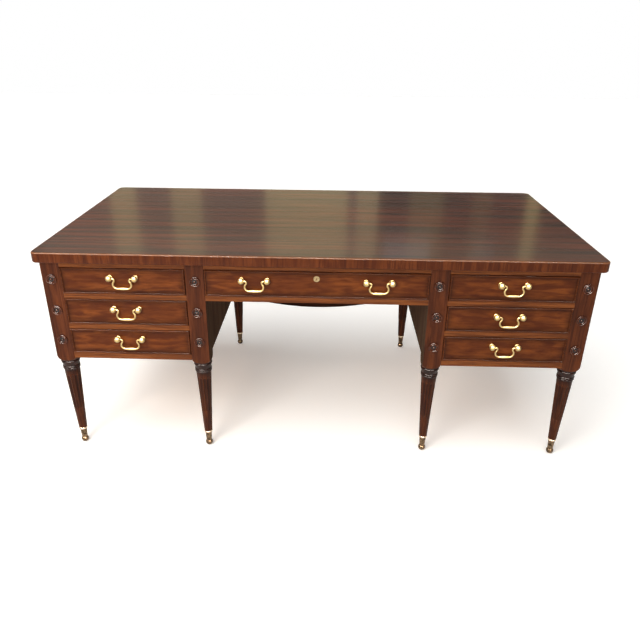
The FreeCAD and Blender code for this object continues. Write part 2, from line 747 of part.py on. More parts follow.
def make_pulls():
    """Posts and bails of every drawer."""
    boss = make_boss_pattern()
    bail = make_bail_pattern()
    pivot_y = f"({FRONT_Y} - Dims.boss_reach)"
    for side, sign in SIDES.items():
        low, high = sided(sign, BAY_IN, BAY_OUT)
        middle = f"(({low} + {high}) / 2)"
        for level, height in enumerate(LEVELS):
            name = f"{side}_{height}"
            z = f"({opening_centre(level)} + Dims.pull_lift)"
            node(f"pull_posts_{name}", group(f"posts_{name}", post_pair(name, boss, middle, z)))
            node(f"bail_{name}", placed(f"bail_at_{name}", bail, middle, pivot_y, z))
    z = f"({opening_centre(0)} + Dims.pull_lift)"
    posts = []
    for side, x in (("left", minus(dim("centre_pull_x"))), ("right", dim("centre_pull_x"))):
        posts += post_pair(f"centre_{side}", boss, x, z)
        node(f"bail_centre_{side}", placed(f"bail_at_centre_{side}", bail, x, pivot_y, z))
    node("pull_posts_centre", group("posts_centre", posts))


def post_pair(name, boss, x, z):
    """Left and right post of one pull, bored towards each other."""
    half = "Dims.pull_spacing / 2"
    return [
        placed(f"post_{name}_left", boss, f"({x} - {half})", FRONT_Y, z, FACING_OUT),
        placed(f"post_{name}_right", boss, f"({x} + {half})", FRONT_Y, z, FACING_OUT_TURNED),
    ]


def make_lock():
    """Half-mortise lock of the centre drawer: case with barrel, turning plug and lifting bolt."""
    z = f"({opening_centre(0)} + Dims.lock_lift)"
    rear = f"({FRONT_Y} + Dims.front_thickness)"
    case_y = (rear, f"({rear} + Dims.lock_case_depth)")
    half = "Dims.lock_case_width / 2"
    case_low = f"({z} - Dims.lock_case_drop)"
    bolt_top = f"({OPENING_TOP[0]} - Dims.bolt_gap)"
    case_high = f"({bolt_top} - Dims.bolt_gap)"
    shell = board("lock_shell", (f"-{half}", half), case_y, (case_low, case_high))
    gap = dim("bolt_gap")
    bolt_low = f"({z} + Dims.plug_radius + Dims.bolt_throw / 2)"
    way = board(
        "bolt_way",
        (f"-Dims.bolt_width / 2 - {gap}", f"Dims.bolt_width / 2 + {gap}"),
        (f"{BOLT_Y[0]} - {gap}", f"{BOLT_Y[1]} + {gap}"),
        (f"{bolt_low} - {gap}", f"{case_high} + {gap}"),
    )
    reach = "Dims.front_thickness + Dims.lock_flange"
    barrel = faceted("lock_barrel", dim("lock_sides"), [
        (dim("lock_barrel_radius"), "0"),
        (dim("lock_barrel_radius"), dim("front_thickness")),
        (dim("lock_flange_radius"), dim("front_thickness")),
        (dim("lock_flange_radius"), reach),
    ])
    barrel_placed = placed("lock_barrel_placed", barrel, "0", rear, z, FACING_OUT)
    joined = doc.addObject("Part::Fuse", "lock_joined")
    joined.Base = shell
    joined.Tool = barrel_placed
    bore = new_body("plug_bore")
    turned(bore, "plug_bore_lathe", [
        ("0", "0"),
        ("Dims.plug_radius + Dims.lock_gap", "0"),
        ("Dims.plug_radius + Dims.lock_gap", f"{reach} + Dims.lock_flange"),
        ("0", f"{reach} + Dims.lock_flange"),
    ])
    bore_placed = placed("plug_bore_placed", bore, "0", rear, z, FACING_OUT)
    node("lock_case", cut("lock_bored", cut("lock_slotted", joined, way), bore_placed))
    plug = new_body("plug_pattern")
    turned(plug, "plug_lathe", [
        ("0", dim("running_gap")),
        (dim("plug_radius"), dim("running_gap")),
        (dim("plug_radius"), reach),
        ("0", reach),
    ])
    plug_placed = placed("plug_placed", plug, "0", rear, z, FACING_OUT)
    face = f"({FRONT_Y} - Dims.lock_flange)"
    keyway = board("keyway", ("-Dims.keyway_width / 2", "Dims.keyway_width / 2"),
                   (f"({face} - Dims.lock_flange)", f"({face} + Dims.keyway_depth)"),
                   (f"({z} - Dims.keyway_height / 2)", f"({z} + Dims.keyway_height / 2)"))
    node("lock_plug", cut("plug_keyed", plug_placed, keyway))
    bolt_x = ("-Dims.bolt_width / 2", "Dims.bolt_width / 2")
    node("lock_bolt", board("bolt", bolt_x, BOLT_Y, (bolt_low, bolt_top)))
    hole_radius = "Dims.lock_barrel_radius + Dims.lock_gap"
    hole = faceted("lock_hole", dim("lock_sides"), [
        (hole_radius, "0"),
        (hole_radius, dim("front_thickness")),
    ])
    return placed("lock_hole_placed", hole, "0", rear, z, FACING_OUT)


def make_drawers():
    """Three drawers in each pedestal and one over the kneehole."""
    for side, sign in SIDES.items():
        for level, height in enumerate(LEVELS):
            make_drawer(f"{side}_{height}", sided(sign, BAY_IN, BAY_OUT), level)
    make_drawer("centre", (minus(KNEE), KNEE), 0, lock_hole=make_lock())


def check_and_write():
    """Stops on any failed object or bad shape, then writes one file for each sub-part."""
    doc.recompute()
    failed = [obj.Name for obj in doc.Objects if {"Invalid", "Error"} & set(obj.State)]
    if failed:
        raise RuntimeError(f"objects failed to compute: {failed}")
    for label, obj in NODES.items():
        if obj.Shape.isNull() or not obj.Shape.isValid() or not obj.Shape.Solids:
            raise RuntimeError(f"{label} has no valid solid")
    os.makedirs("parts", exist_ok=True)
    for label, obj in NODES.items():
        obj.Shape.exportStep(os.path.join("parts", f"{label}.step"))


make_top()
make_leg_nodes()
make_rails()
make_back_panels()
make_carcase()
make_aprons()
make_drawers()
make_pulls()
check_and_write()
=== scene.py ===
"""Looks of a partners desk in polished mahogany and brass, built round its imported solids.

The classes keep their sizes in millimetres. The scene is in metres: +X runs along the desk,
-Y faces the sitter, +Z is up and the floor is at 0.
"""
import json
import logging
import math
from dataclasses import dataclass, field, replace
from enum import Enum
from functools import cache
from typing import Any

import bpy
import numpy as np
from mathutils import Euler, Matrix, Vector

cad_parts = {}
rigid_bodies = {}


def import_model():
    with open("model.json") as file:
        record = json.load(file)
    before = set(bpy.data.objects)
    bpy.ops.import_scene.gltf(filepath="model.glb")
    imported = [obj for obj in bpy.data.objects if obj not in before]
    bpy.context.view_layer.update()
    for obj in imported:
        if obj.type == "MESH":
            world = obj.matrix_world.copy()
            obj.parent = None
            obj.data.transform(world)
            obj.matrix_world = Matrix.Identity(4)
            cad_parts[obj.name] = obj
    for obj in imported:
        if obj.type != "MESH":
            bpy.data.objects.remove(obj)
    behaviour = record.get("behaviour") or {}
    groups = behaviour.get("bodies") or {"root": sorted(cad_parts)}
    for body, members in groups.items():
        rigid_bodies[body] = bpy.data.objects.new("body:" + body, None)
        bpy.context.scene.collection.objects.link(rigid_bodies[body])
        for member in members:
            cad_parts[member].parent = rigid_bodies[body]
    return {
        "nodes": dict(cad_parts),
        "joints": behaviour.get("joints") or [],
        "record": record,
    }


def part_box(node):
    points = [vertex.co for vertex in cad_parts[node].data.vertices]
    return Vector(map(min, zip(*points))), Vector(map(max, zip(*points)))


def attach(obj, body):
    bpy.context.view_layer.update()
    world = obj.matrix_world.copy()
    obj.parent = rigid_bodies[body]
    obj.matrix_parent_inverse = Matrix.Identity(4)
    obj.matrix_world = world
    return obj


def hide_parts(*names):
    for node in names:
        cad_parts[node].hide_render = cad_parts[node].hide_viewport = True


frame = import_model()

Pair = tuple[float, float]
Triple = tuple[float, float, float]
LOG = logging.getLogger("desk")
MM = 0.001
ROOT = "carcase"
LEVELS = ("top", "middle", "bottom")
DRAWERS = (*(f"{side}_{level}" for side in ("left", "right") for level in LEVELS), "centre")
SHARP_ANGLE = math.radians(40)


class Fibre(Enum):
    """Axis that the fibres of a wooden piece run along."""

    LENGTH = "X"
    DEPTH = "Y"
    HEIGHT = "Z"


class Slot(Enum):
    """Material slots of the record."""

    TOP = "mahogany_top"
    CROSSBAND = "mahogany_crossband"
    POSTS = "mahogany_posts"
    RAILS = "mahogany_rails"
    FRONTS = "mahogany_fronts"
    BEADS = "mahogany_beads"
    PANELS = "mahogany_panels"
    LINING = "secondary_wood"
    PULLS = "polished_brass"
    FEET = "aged_brass"
    LOCK = "lock_brass"


class Shown(Enum):
    """Where a light can be seen."""

    ON_ALL = "sheds light and is mirrored"
    ON_WOOD = "sheds light and is never mirrored"
    IN_POLISH = "mirrored in edges and curves, and sheds no light"


class Look(Enum):
    """Finishes that set some pieces apart from the others of their slot."""

    TURNING = "dark turned stem"
    RINGS = "glossy rings of a stem"
    CARVING = "darkened turned carving"
    KNEEHOLE = "shaded wood of the kneehole"
    APRON = "dark stained apron"
    FOOT_RING = "rubbed ring of a foot"


def linear(colour: str) -> tuple[float, float, float, float]:
    """Turns an sRGB hex colour into linear light.

    Args:
        colour: six hex digits after a hash sign.

    Returns:
        Red, green, blue and an alpha of one.
    """
    srgb = np.array([int(colour[i:i + 2], 16) for i in (1, 3, 5)]) / 255
    light = np.where(srgb <= 0.04045, srgb / 12.92, ((srgb + 0.055) / 1.055) ** 2.4)
    return (*light.tolist(), 1.0)


def add_node(tree: bpy.types.NodeTree, kind: str, inputs: dict[Any, Any],
             **settings: Any) -> bpy.types.Node:
    """Adds a node, sets its options and fills its inputs.

    Args:
        tree: node tree that takes the node.
        kind: type name of the node, after ShaderNode.
        inputs: value or linked socket for each input name or number (a mix has colours at 6 and 7).
        **settings: options of the node itself.

    Returns:
        The new node.
    """
    node = tree.nodes.new(f"ShaderNode{kind}")
    for option, value in settings.items():
        setattr(node, option, value)
    for name, value in inputs.items():
        if isinstance(value, bpy.types.NodeSocket):
            tree.links.new(value, node.inputs[name])
        else:
            node.inputs[name].default_value = value
    return node


def empty_material(name: str) -> bpy.types.Material:
    """Makes a material that has no nodes yet.

    Args:
        name: name of the material.

    Returns:
        The new material.
    """
    material = bpy.data.materials.new(name)
    material.use_nodes = True
    material.node_tree.nodes.clear()
    return material


@dataclass(frozen=True)
class WoodFinish:
    """A wood as it was cut and finished: ribbon figure, dark streaks and open pores under a polish."""

    name: str  # common name of the wood and of its cut or finish
    fibre: Fibre  # axis that the fibres run along
    pale: str  # colour of the ribbons
    dark: str  # colour between them
    deep: str  # colour of streaks and pores
    ribbon_mm: float = 22.0  # width of a ribbon, which is ribbon_stretch times as long
    ribbon_stretch: float = 9.0
    cloud_mm: float = 130.0  # size of the slow clouds that darken it
    cloud_share: float = 0.5
    streak_mm: float = 3.4  # width of a dark streak
    streak_share: float = 0.55
    pore_mm: float = 1.1  # width of an open pore
    pore_share: float = 0.45
    pore_depth_mm: float = 0.15
    wave_mm: float = 46.0  # size of the slow waves that a hand leaves in the polish
    wave_depth_mm: float = 0.5
    roughness: float = 0.34
    streak_roughness: float = 0.12
    coat: float = 0.4
    coat_roughness: float = 0.12
    specular: float = 0.06
    # The rim tone is painted light: painted shade in hollows and beside beads, and a painted highlight
    # on the top band's arris.
    rim_share: float = 0.0  # how much of rim_tone shows where the piece's rim attribute is one
    rim_tone: str = "#1C0B05"

    def drawn_out(self, tree: bpy.types.NodeTree, width_mm: float, stretch: float, low: float,
                  high: float, detail: float = 2.0, distortion: float = 0.0) -> bpy.types.NodeSocket:
        """Noise that is drawn out along the fibres, with a soft cut between two of its values.

        Args:
            tree: node tree of the material.
            width_mm: width of one streak across the fibres.
            stretch: length of a streak over its width.
            low: noise value that gives zero.
            high: noise value that gives one.
            detail: octaves of finer noise.
            distortion: how far the streaks wander.

        Returns:
            The socket with the cut noise.
        """
        across = 1 / (width_mm * MM)
        scale = [across / stretch if axis == self.fibre.value else across for axis in "XYZ"]
        place = add_node(tree, "TexCoord", {}).outputs["Object"]
        fibres = add_node(tree, "Mapping", {"Vector": place, "Scale": scale})
        noise = add_node(tree, "TexNoise", {
            "Vector": fibres.outputs[0], "Scale": 1.0, "Detail": detail, "Distortion": distortion,
        })
        cut = add_node(tree, "MapRange", {
            "Value": noise.outputs[0], "From Min": low, "From Max": high,
        }, interpolation_type="SMOOTHSTEP")
        return cut.outputs[0]

    def material(self) -> bpy.types.Material:
        """Builds the node material.

        Returns:
            The new material.
        """
        material = empty_material(self.name)
        tree = material.node_tree
        ribbon = self.drawn_out(tree, self.ribbon_mm, self.ribbon_stretch, low=0.36, high=0.66,
                                detail=3.0, distortion=0.5)
        cloud = self.drawn_out(tree, self.cloud_mm, stretch=2.2, low=0.35, high=0.7, distortion=0.8)
        streak = self.drawn_out(tree, self.streak_mm, stretch=70.0, low=0.5, high=0.72, detail=3.0)
        pore = self.drawn_out(tree, self.pore_mm, stretch=22.0, low=0.6, high=0.72, detail=1.0)
        waves = self.drawn_out(tree, self.wave_mm, stretch=2.0, low=0.3, high=0.7, detail=1.0)
        colour = add_node(tree, "Mix", {
            0: ribbon, 6: linear(self.dark), 7: linear(self.pale),
        }, data_type="RGBA").outputs[2]
        layers = [
            (cloud, self.cloud_share, self.dark), (streak, self.streak_share, self.deep),
            (pore, self.pore_share, self.deep),
        ]
        # Painted light: the rim attribute mixes in rim_tone, as painted shade on fronts, stems and
        # rosettes and as a painted highlight on the top band.
        if self.rim_share:
            rim = add_node(tree, "Attribute", {}, attribute_name="rim").outputs["Fac"]
            layers.append((rim, self.rim_share, self.rim_tone))
        for amount, share, tone in layers:
            part = add_node(tree, "Math", {0: amount, 1: share}, operation="MULTIPLY")
            colour = add_node(tree, "Mix", {
                0: part.outputs[0], 6: colour, 7: linear(tone),
            }, data_type="RGBA").outputs[2]
        rough = add_node(tree, "MapRange", {
            "Value": streak, "To Min": self.roughness, "To Max": self.roughness + self.streak_roughness,
        })
        grain = add_node(tree, "Bump", {
            "Strength": 0.25, "Distance": self.pore_depth_mm * MM, "Height": pore,
        }, invert=True)
        polish = add_node(tree, "Bump", {
            "Strength": 0.12, "Distance": self.wave_depth_mm * MM, "Height": waves,
        })
        shader = add_node(tree, "BsdfPrincipled", {
            "Base Color": colour, "Roughness": rough.outputs[0], "Specular IOR Level": self.specular,
            "Normal": grain.outputs[0], "Coat Weight": self.coat, "Coat Roughness": self.coat_roughness,
            "Coat Normal": polish.outputs[0],
        })
        add_node(tree, "OutputMaterial", {"Surface": shader.outputs[0]})
        return material


@dataclass(frozen=True)
class BrassFinish:
    """Cast brass, polished or left to age: clear metal, clouds of tarnish and fine rubbing marks."""

    name: str  # common name of the brass and of its finish
    bright: str  # colour of the clear metal
    dull: str  # colour of its tarnish
    roughness: float  # roughness where it is clear, which rises by rough_range in the clouds
    tarnish: float  # how much of the dull colour shows in the clouds
    cloud_mm: float = 9.0  # size of a cloud
    rub_mm: float = 0.7  # spacing of the rubbing marks
    rub_depth_mm: float = 0.05
    rough_range: float = 1.7

    def material(self) -> bpy.types.Material:
        """Builds the node material.

        Returns:
            The new material.
        """
        material = empty_material(self.name)
        tree = material.node_tree
        place = add_node(tree, "TexCoord", {}).outputs["Object"]
        cloud = add_node(tree, "TexNoise", {
            "Vector": place, "Scale": 1 / (self.cloud_mm * MM), "Detail": 4.0, "Roughness": 0.6,
        })
        rub = add_node(tree, "TexNoise", {
            "Vector": place, "Scale": 1 / (self.rub_mm * MM), "Detail": 2.0,
        })
        darkening = add_node(tree, "MapRange", {
            "Value": cloud.outputs[0], "From Min": 0.38, "From Max": 0.68, "To Max": self.tarnish,
        }, interpolation_type="SMOOTHSTEP")
        colour = add_node(tree, "Mix", {
            0: darkening.outputs[0], 6: linear(self.bright), 7: linear(self.dull),
        }, data_type="RGBA").outputs[2]
        rough = add_node(tree, "MapRange", {
            "Value": cloud.outputs[0], "From Min": 0.3, "From Max": 0.7,
            "To Min": self.roughness, "To Max": self.roughness * self.rough_range,
        })
        marks = add_node(tree, "Bump", {
            "Strength": 0.08, "Distance": self.rub_depth_mm * MM, "Height": rub.outputs[0],
        })
        shader = add_node(tree, "BsdfPrincipled", {
            "Base Color": colour, "Metallic": 1.0, "Roughness": rough.outputs[0],
            "Normal": marks.outputs[0],
        })
        add_node(tree, "OutputMaterial", {"Surface": shader.outputs[0]})
        return material


# Each finish starts from the real surface, and its comment says what that gives the eye.
FINISHES: dict[Slot | Look, WoodFinish | BrassFinish] = {
    # Straight veneer under the thickest polish: long red-brown lines that fade under mirrored light.
    # The lines are several times as wide as real ones, which would not show from the camera.
    Slot.TOP: WoodFinish(
        "polished_mahogany_top", Fibre.LENGTH, "#6A2D13", "#3C1A0B", "#1A0904",
        ribbon_mm=38.0, ribbon_stretch=18.0, cloud_mm=180.0, streak_mm=13.0, streak_share=0.5,
        coat=0.9, coat_roughness=0.14),
    # Veneer laid across the edge: short upright bars, with a pale painted highlight along the upper
    # arris.
    Slot.CROSSBAND: WoodFinish(
        "crossbanded_mahogany", Fibre.HEIGHT, "#602F12", "#481F0A", "#280F06",
        ribbon_mm=13.0, ribbon_stretch=7.0, cloud_mm=70.0, coat=0.14, specular=0.03,
        rim_share=0.35, rim_tone="#B4805C"),
    # Straight solid wood with thin old polish: calm upright grain and hardly a glint.
    Slot.POSTS: WoodFinish(
        "post_mahogany", Fibre.HEIGHT, "#5F3017", "#421F0F", "#1C0B07",
        ribbon_mm=15.0, ribbon_stretch=12.0, coat=0.1, specular=0.03),
    # Narrow rails worn by hands: the palest wood of the front, with long level lines.
    Slot.RAILS: WoodFinish(
        "railed_mahogany", Fibre.LENGTH, "#804820", "#5E3013", "#32170A",
        ribbon_mm=11.0, ribbon_stretch=16.0, coat=0.15, specular=0.03),
    # Figured veneer: soft flames of pale and dark, deeper beside the bead: painted shade of the bead,
    # with polish gathered there.
    Slot.FRONTS: WoodFinish(
        "figured_mahogany", Fibre.LENGTH, "#703B18", "#4E240F", "#2A110A",
        ribbon_mm=17.0, ribbon_stretch=5.0, cloud_mm=70.0, streak_share=0.3, coat=0.1,
        specular=0.02, rim_share=0.6),
    # Half-round strip, waxed: a dark line with a thin light along it.
    Slot.BEADS: WoodFinish(
        "beaded_mahogany", Fibre.LENGTH, "#5E2E12", "#43200C", "#260F06",
        ribbon_mm=8.0, ribbon_stretch=14.0, coat=0.16, coat_roughness=0.1, specular=0.02),
    # Wide plain boards: broad slow figure with a soft sheen.
    Slot.PANELS: WoodFinish(
        "panelled_mahogany", Fibre.HEIGHT, "#63351B", "#432110", "#200D06",
        ribbon_mm=30.0, ribbon_stretch=12.0, cloud_mm=160.0, coat=0.14, coat_roughness=0.2),
    # Planed and waxed drawer wood: pale and straight, almost without gloss.
    Slot.LINING: WoodFinish(
        "waxed_lining_wood", Fibre.DEPTH, "#B58C5C", "#94693E", "#6C4724",
        ribbon_mm=24.0, ribbon_stretch=18.0, roughness=0.55, coat=0.1, coat_roughness=0.4),
    # Buffed casting: pale yellow with small strong lights and browner hollows.
    Slot.PULLS: BrassFinish("polished_cast_brass", "#B9A472", "#86724C", 0.3, 0.6),
    # Casting left to age near the floor: brown clouds and one light on the ball.
    Slot.FEET: BrassFinish("aged_cast_brass", "#7A654E", "#241D17", 0.2, 0.9),
    # Turned lock face, dulled by keys: a small tan disc.
    Slot.LOCK: BrassFinish("dulled_lock_brass", "#8F7F5F", "#54472F", 0.36, 0.7),
    # Wood off the lathe with painted shade in its flute hollows, and darker over the flutes up to the
    # rings: flutes that read as dark lines.
    Look.TURNING: WoodFinish(
        "turned_mahogany", Fibre.HEIGHT, "#532911", "#381809", "#160604",
        ribbon_mm=10.0, ribbon_stretch=14.0, coat=0.14, coat_roughness=0.12, specular=0.03,
        rim_share=0.8, rim_tone="#180805"),
    # Turned beads that a cloth has gone over most: almost black, with thin lights round them.
    Look.RINGS: WoodFinish(
        "glossy_turned_mahogany", Fibre.HEIGHT, "#2E140A", "#200D07", "#120604",
        ribbon_mm=10.0, ribbon_stretch=14.0, coat=0.4, coat_roughness=0.1, specular=0.02),
    # Turned ornament under thick polish: painted shade in the hollows, and rounds that the lamps make
    # bright.
    Look.CARVING: WoodFinish(
        "carved_mahogany", Fibre.HEIGHT, "#643014", "#48200E", "#241007",
        ribbon_mm=8.0, coat=0.6, coat_roughness=0.07, specular=0.02,
        rim_share=0.95, rim_tone="#100503"),
    # Boards of the kneehole, darkened as painted shade: grey-brown and flat, without polish.
    Look.KNEEHOLE: WoodFinish(
        "kneehole_mahogany", Fibre.HEIGHT, "#4C3C30", "#3F3027", "#2A1E18",
        ribbon_mm=30.0, ribbon_stretch=12.0, streak_share=0.35, pore_share=0.3,
        coat=0.0, specular=0.0),
    # Ring painted pale as a highlight: a pale line over the dull socket.
    Look.FOOT_RING: BrassFinish("worn_bright_brass", "#DCCAB2", "#A8927A", 0.22, 0.6),
    # Board darkened with painted shade, as in the shadow under the rail: a plain dark curve.
    Look.APRON: WoodFinish(
        "stained_mahogany", Fibre.LENGTH, "#2A1810", "#1C0F0A", "#0E0705",
        ribbon_mm=11.0, ribbon_stretch=16.0, coat=0.0, specular=0.0),
}


@cache
def finish(kind: Slot | Look) -> bpy.types.Material:
    """Material of a slot, or of a look that sets a piece apart: the same one at each call."""
    return FINISHES[kind].material()


@dataclass
class Patch:
    """A closed surface: points in millimetres, four-sided faces and many-sided ends."""

    points: np.ndarray  # one row of X, Y and Z for each point
    quads: np.ndarray  # four point numbers for each face
    # Rings of point numbers that close the open ends.
    caps: list[np.ndarray] = field(default_factory=list)
    rim: np.ndarray | None = None  # how far each point takes the rim tone of its finish, from 0 to 1

    @staticmethod
    def from_rings(x: np.ndarray, y: np.ndarray, z: np.ndarray, joined: bool = False,
                   rim: np.ndarray | None = None) -> "Patch":
        """Joins closed rings of points to a surface.

        Args:
            x: X of each point, as rings by points. Like y and z it may be a single row or column.
            y: Y of the points.
            z: Z of the points.
            joined: whether the last ring goes on to the first, as on a hoop.
            rim: rim value of each ring, or of each point of each ring.

        Returns:
            The surface, with its faces outwards.
        """
        rings = np.stack(np.broadcast_arrays(x, y, z), axis=-1)
        count, around, _ = rings.shape
        index = np.arange(count * around).reshape(count, around)
        near, far = (index, np.roll(index, -1, axis=0)) if joined else (index[:-1], index[1:])
        quads = np.stack([near, np.roll(near, -1, axis=1), np.roll(far, -1, axis=1), far], axis=-1)
        caps = [] if joined else [index[0][::-1], index[-1]]
        values = None
        if rim is not None:
            values = np.broadcast_to(rim.reshape(count, -1), (count, around)).ravel()
        return Patch(rings.reshape(-1, 3), quads.reshape(-1, 4), caps, values).facing_out()

    def facing_out(self) -> "Patch":
        """Turns every face round where the enclosed volume, the sum of a . (b x c), is negative.

        Returns:
            This surface, or the same one with its faces turned round.
        """
        fans = [
            np.stack([np.full(len(cap) - 2, cap[0]), cap[1:-1], cap[2:]], axis=-1) for cap in self.caps
        ]
        triangles = np.concatenate([self.quads[:, :3], self.quads[:, [0, 2, 3]], *fans])
        a, b, c = np.moveaxis(self.points[triangles], 1, 0)
        if np.einsum("ij,ij->", a, np.cross(b, c)) < 0:
            return replace(self, quads=self.quads[:, ::-1], caps=[cap[::-1] for cap in self.caps])
        return self

    def moved(self, x: float, y: float, z: float) -> "Patch":
        """The same surface at another place."""
        return replace(self, points=self.points + np.array([x, y, z]))

    def facing_sitter(self) -> "Patch":
        """The same surface with its Z axis turned to -Y: (x, y, z) goes to (x, -z, y)."""
        x, y, z = self.points.T
        return replace(self, points=np.stack([x, -z, y], axis=-1))


def turned(radius: np.ndarray, height: np.ndarray, sides: int, rim: np.ndarray | None = None) -> Patch:
    """Swings a profile round Z: x = r cos a, y = r sin a, z = h.

    Args:
        radius: distance of each profile point from the axis.
        height: height of each profile point.
        sides: points on each ring.
        rim: rim value of each profile point.

    Returns:
        The turned surface.
    """
    angle = np.arange(sides) * 2 * math.pi / sides
    x, y = radius[:, None] * np.cos(angle), radius[:, None] * np.sin(angle)
    return Patch.from_rings(x, y, height[:, None], rim=rim)


def framed(x: Pair, z: Pair, inset: np.ndarray, y: np.ndarray,
           joined: bool, rim: np.ndarray | None = None) -> Patch:
    """Carries a profile round an upright rectangle with mitred corners.

    Each profile point gives one rectangle, drawn in from the outline by its inset, at its own depth.

    Args:
        x: left and right edge of the outline.
        z: lower and upper edge of the outline.
        inset: distance of each profile point inside the outline.
        y: depth of each profile point.
        joined: whether the profile closes on itself.
        rim: rim value of each profile point.

    Returns:
        The framed surface.
    """
    left, right = x[0] + inset, x[1] - inset
    low, high = z[0] + inset, z[1] - inset
    across = np.stack([left, right, right, left], axis=-1)
    up = np.stack([low, low, high, high], axis=-1)
    return Patch.from_rings(across, y[:, None], up, joined, rim)


def box_mm(node: str) -> np.ndarray:
    """Lowest and highest corner of a CAD node, in millimetres, as two rows."""
    return np.array(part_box(node)) / MM


def make_piece(name: str, patches: list[Patch], slot: Slot, body: str, nodes: tuple[str, ...] = (),
               look: Look | None = None) -> bpy.types.Object:
    """Puts surfaces into one mesh, dresses it and sets it riding on a body.

    Args:
        name: name of the piece.
        patches: surfaces of the piece.
        slot: material slot of the record.
        body: CAD body that carries the piece.
        nodes: CAD nodes that the piece stands for.
        look: finish that sets the piece apart from its slot.

    Returns:
        The new object.
    """
    starts = np.cumsum([0] + [len(patch.points) for patch in patches])
    points = np.concatenate([patch.points for patch in patches]) * MM
    quads = np.concatenate([patch.quads + start for patch, start in zip(patches, starts)])
    caps = [cap + start for patch, start in zip(patches, starts) for cap in patch.caps]
    sizes = np.array([4] * len(quads) + [len(cap) for cap in caps])
    loops = np.concatenate([quads.ravel(), *caps])
    mesh = bpy.data.meshes.new(name)
    mesh.vertices.add(len(points))
    mesh.vertices.foreach_set("co", points.astype(np.float32).ravel())
    mesh.loops.add(len(loops))
    mesh.loops.foreach_set("vertex_index", loops.astype(np.int32))
    mesh.polygons.add(len(sizes))
    mesh.polygons.foreach_set("loop_start", (np.cumsum(sizes) - sizes).astype(np.int32))
    mesh.polygons.foreach_set("use_smooth", np.ones(len(sizes), dtype=bool))
    mesh.update(calc_edges=True)
    mesh.validate()
    mesh.set_sharp_from_angle(angle=SHARP_ANGLE)
    if patches[0].rim is not None:
        values = np.concatenate([patch.rim for patch in patches]).astype(np.float32)
        mesh.attributes.new("rim", "FLOAT", "POINT").data.foreach_set("value", values)
    mesh.materials.append(finish(look or slot))
    piece = bpy.data.objects.new(name, mesh)
    bpy.context.scene.collection.objects.link(piece)
    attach(piece, body)
    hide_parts(*nodes)
    LOG.info("%s: %d points on %s", name, len(points), body)
    return piece


def of_faces(piece: bpy.types.Object, value: str, axis: int) -> np.ndarray:
    """One coordinate of the normal or the centre of every face.

    Args:
        piece: piece that has the faces.
        value: name that the mesh has for the value.
        axis: number of the coordinate.

    Returns:
        The coordinate for each face.
    """
    values = np.empty(len(piece.data.polygons) * 3, dtype=np.float32)
    piece.data.polygons.foreach_get(value, values)
    return values[axis::3]


def give_faces(piece: bpy.types.Object, chosen: np.ndarray, look: Look) -> None:
    """Gives some faces of a piece a second finish.

    Args:
        piece: piece with one material.
        chosen: whether each face takes the second finish.
        look: the second finish.
    """
    piece.data.materials.append(finish(look))
    piece.data.polygons.foreach_set("material_index", chosen.astype(np.int32))


@dataclass
class TopBand:
    """Cross-grain band round the desk top, with its arrises eased to a small round."""

    corner: float = 24.0
    thickness: float = 6.0
    upper_round: float = 5.0
    lower_round: float = 4.0
    corner_steps: int = 14
    round_steps: int = 7

    def build(self) -> Patch:
        """Carries a section round a rectangle whose corners are arcs about fixed centres.

        The section is two quarter circles, joined by the upright face and the flat back. The rim value
        rises and falls as the root of a half sine over the upper round, as a painted highlight there.

        Returns:
            The band.
        """
        (x0, y0, low), (x1, y1, high) = box_mm("top_edge_band")
        turn = np.linspace(0, math.pi / 2, self.round_steps)
        inset = np.concatenate([
            [self.thickness, self.thickness], self.upper_round * (1 - np.sin(turn)),
            self.lower_round * (1 - np.cos(turn)),
        ])
        height = np.concatenate([
            [low, high], high - self.upper_round * (1 - np.cos(turn)),
            low + self.lower_round * (1 - np.sin(turn)),
        ])
        quarter = np.linspace(0, math.pi / 2, self.corner_steps)
        angle = (quarter[None, :] + np.arange(4)[:, None] * math.pi / 2).ravel()
        left, right, near, far = x0 + self.corner, x1 - self.corner, y0 + self.corner, y1 - self.corner
        corners = np.array([(right, far), (left, far), (left, near), (right, near)])
        centre_x, centre_y = np.repeat(corners, self.corner_steps, axis=0).T
        radius = (self.corner - inset)[:, None]
        x, y = centre_x + radius * np.cos(angle), centre_y + radius * np.sin(angle)
        # Painted highlight along the upper round of the band.
        highlight_curve = np.sqrt(np.sin(np.linspace(0, math.pi, self.round_steps)))
        painted_highlight = np.concatenate([[0.0, 0.0], highlight_curve, np.zeros(self.round_steps)])
        return Patch.from_rings(x, y, height[:, None], joined=True, rim=painted_highlight)

    def dress(self) -> None:
        """Makes the band in place of its solid."""
        make_piece("top_band_crossgrain", [self.build()], Slot.CROSSBAND, ROOT, ("top_edge_band",))


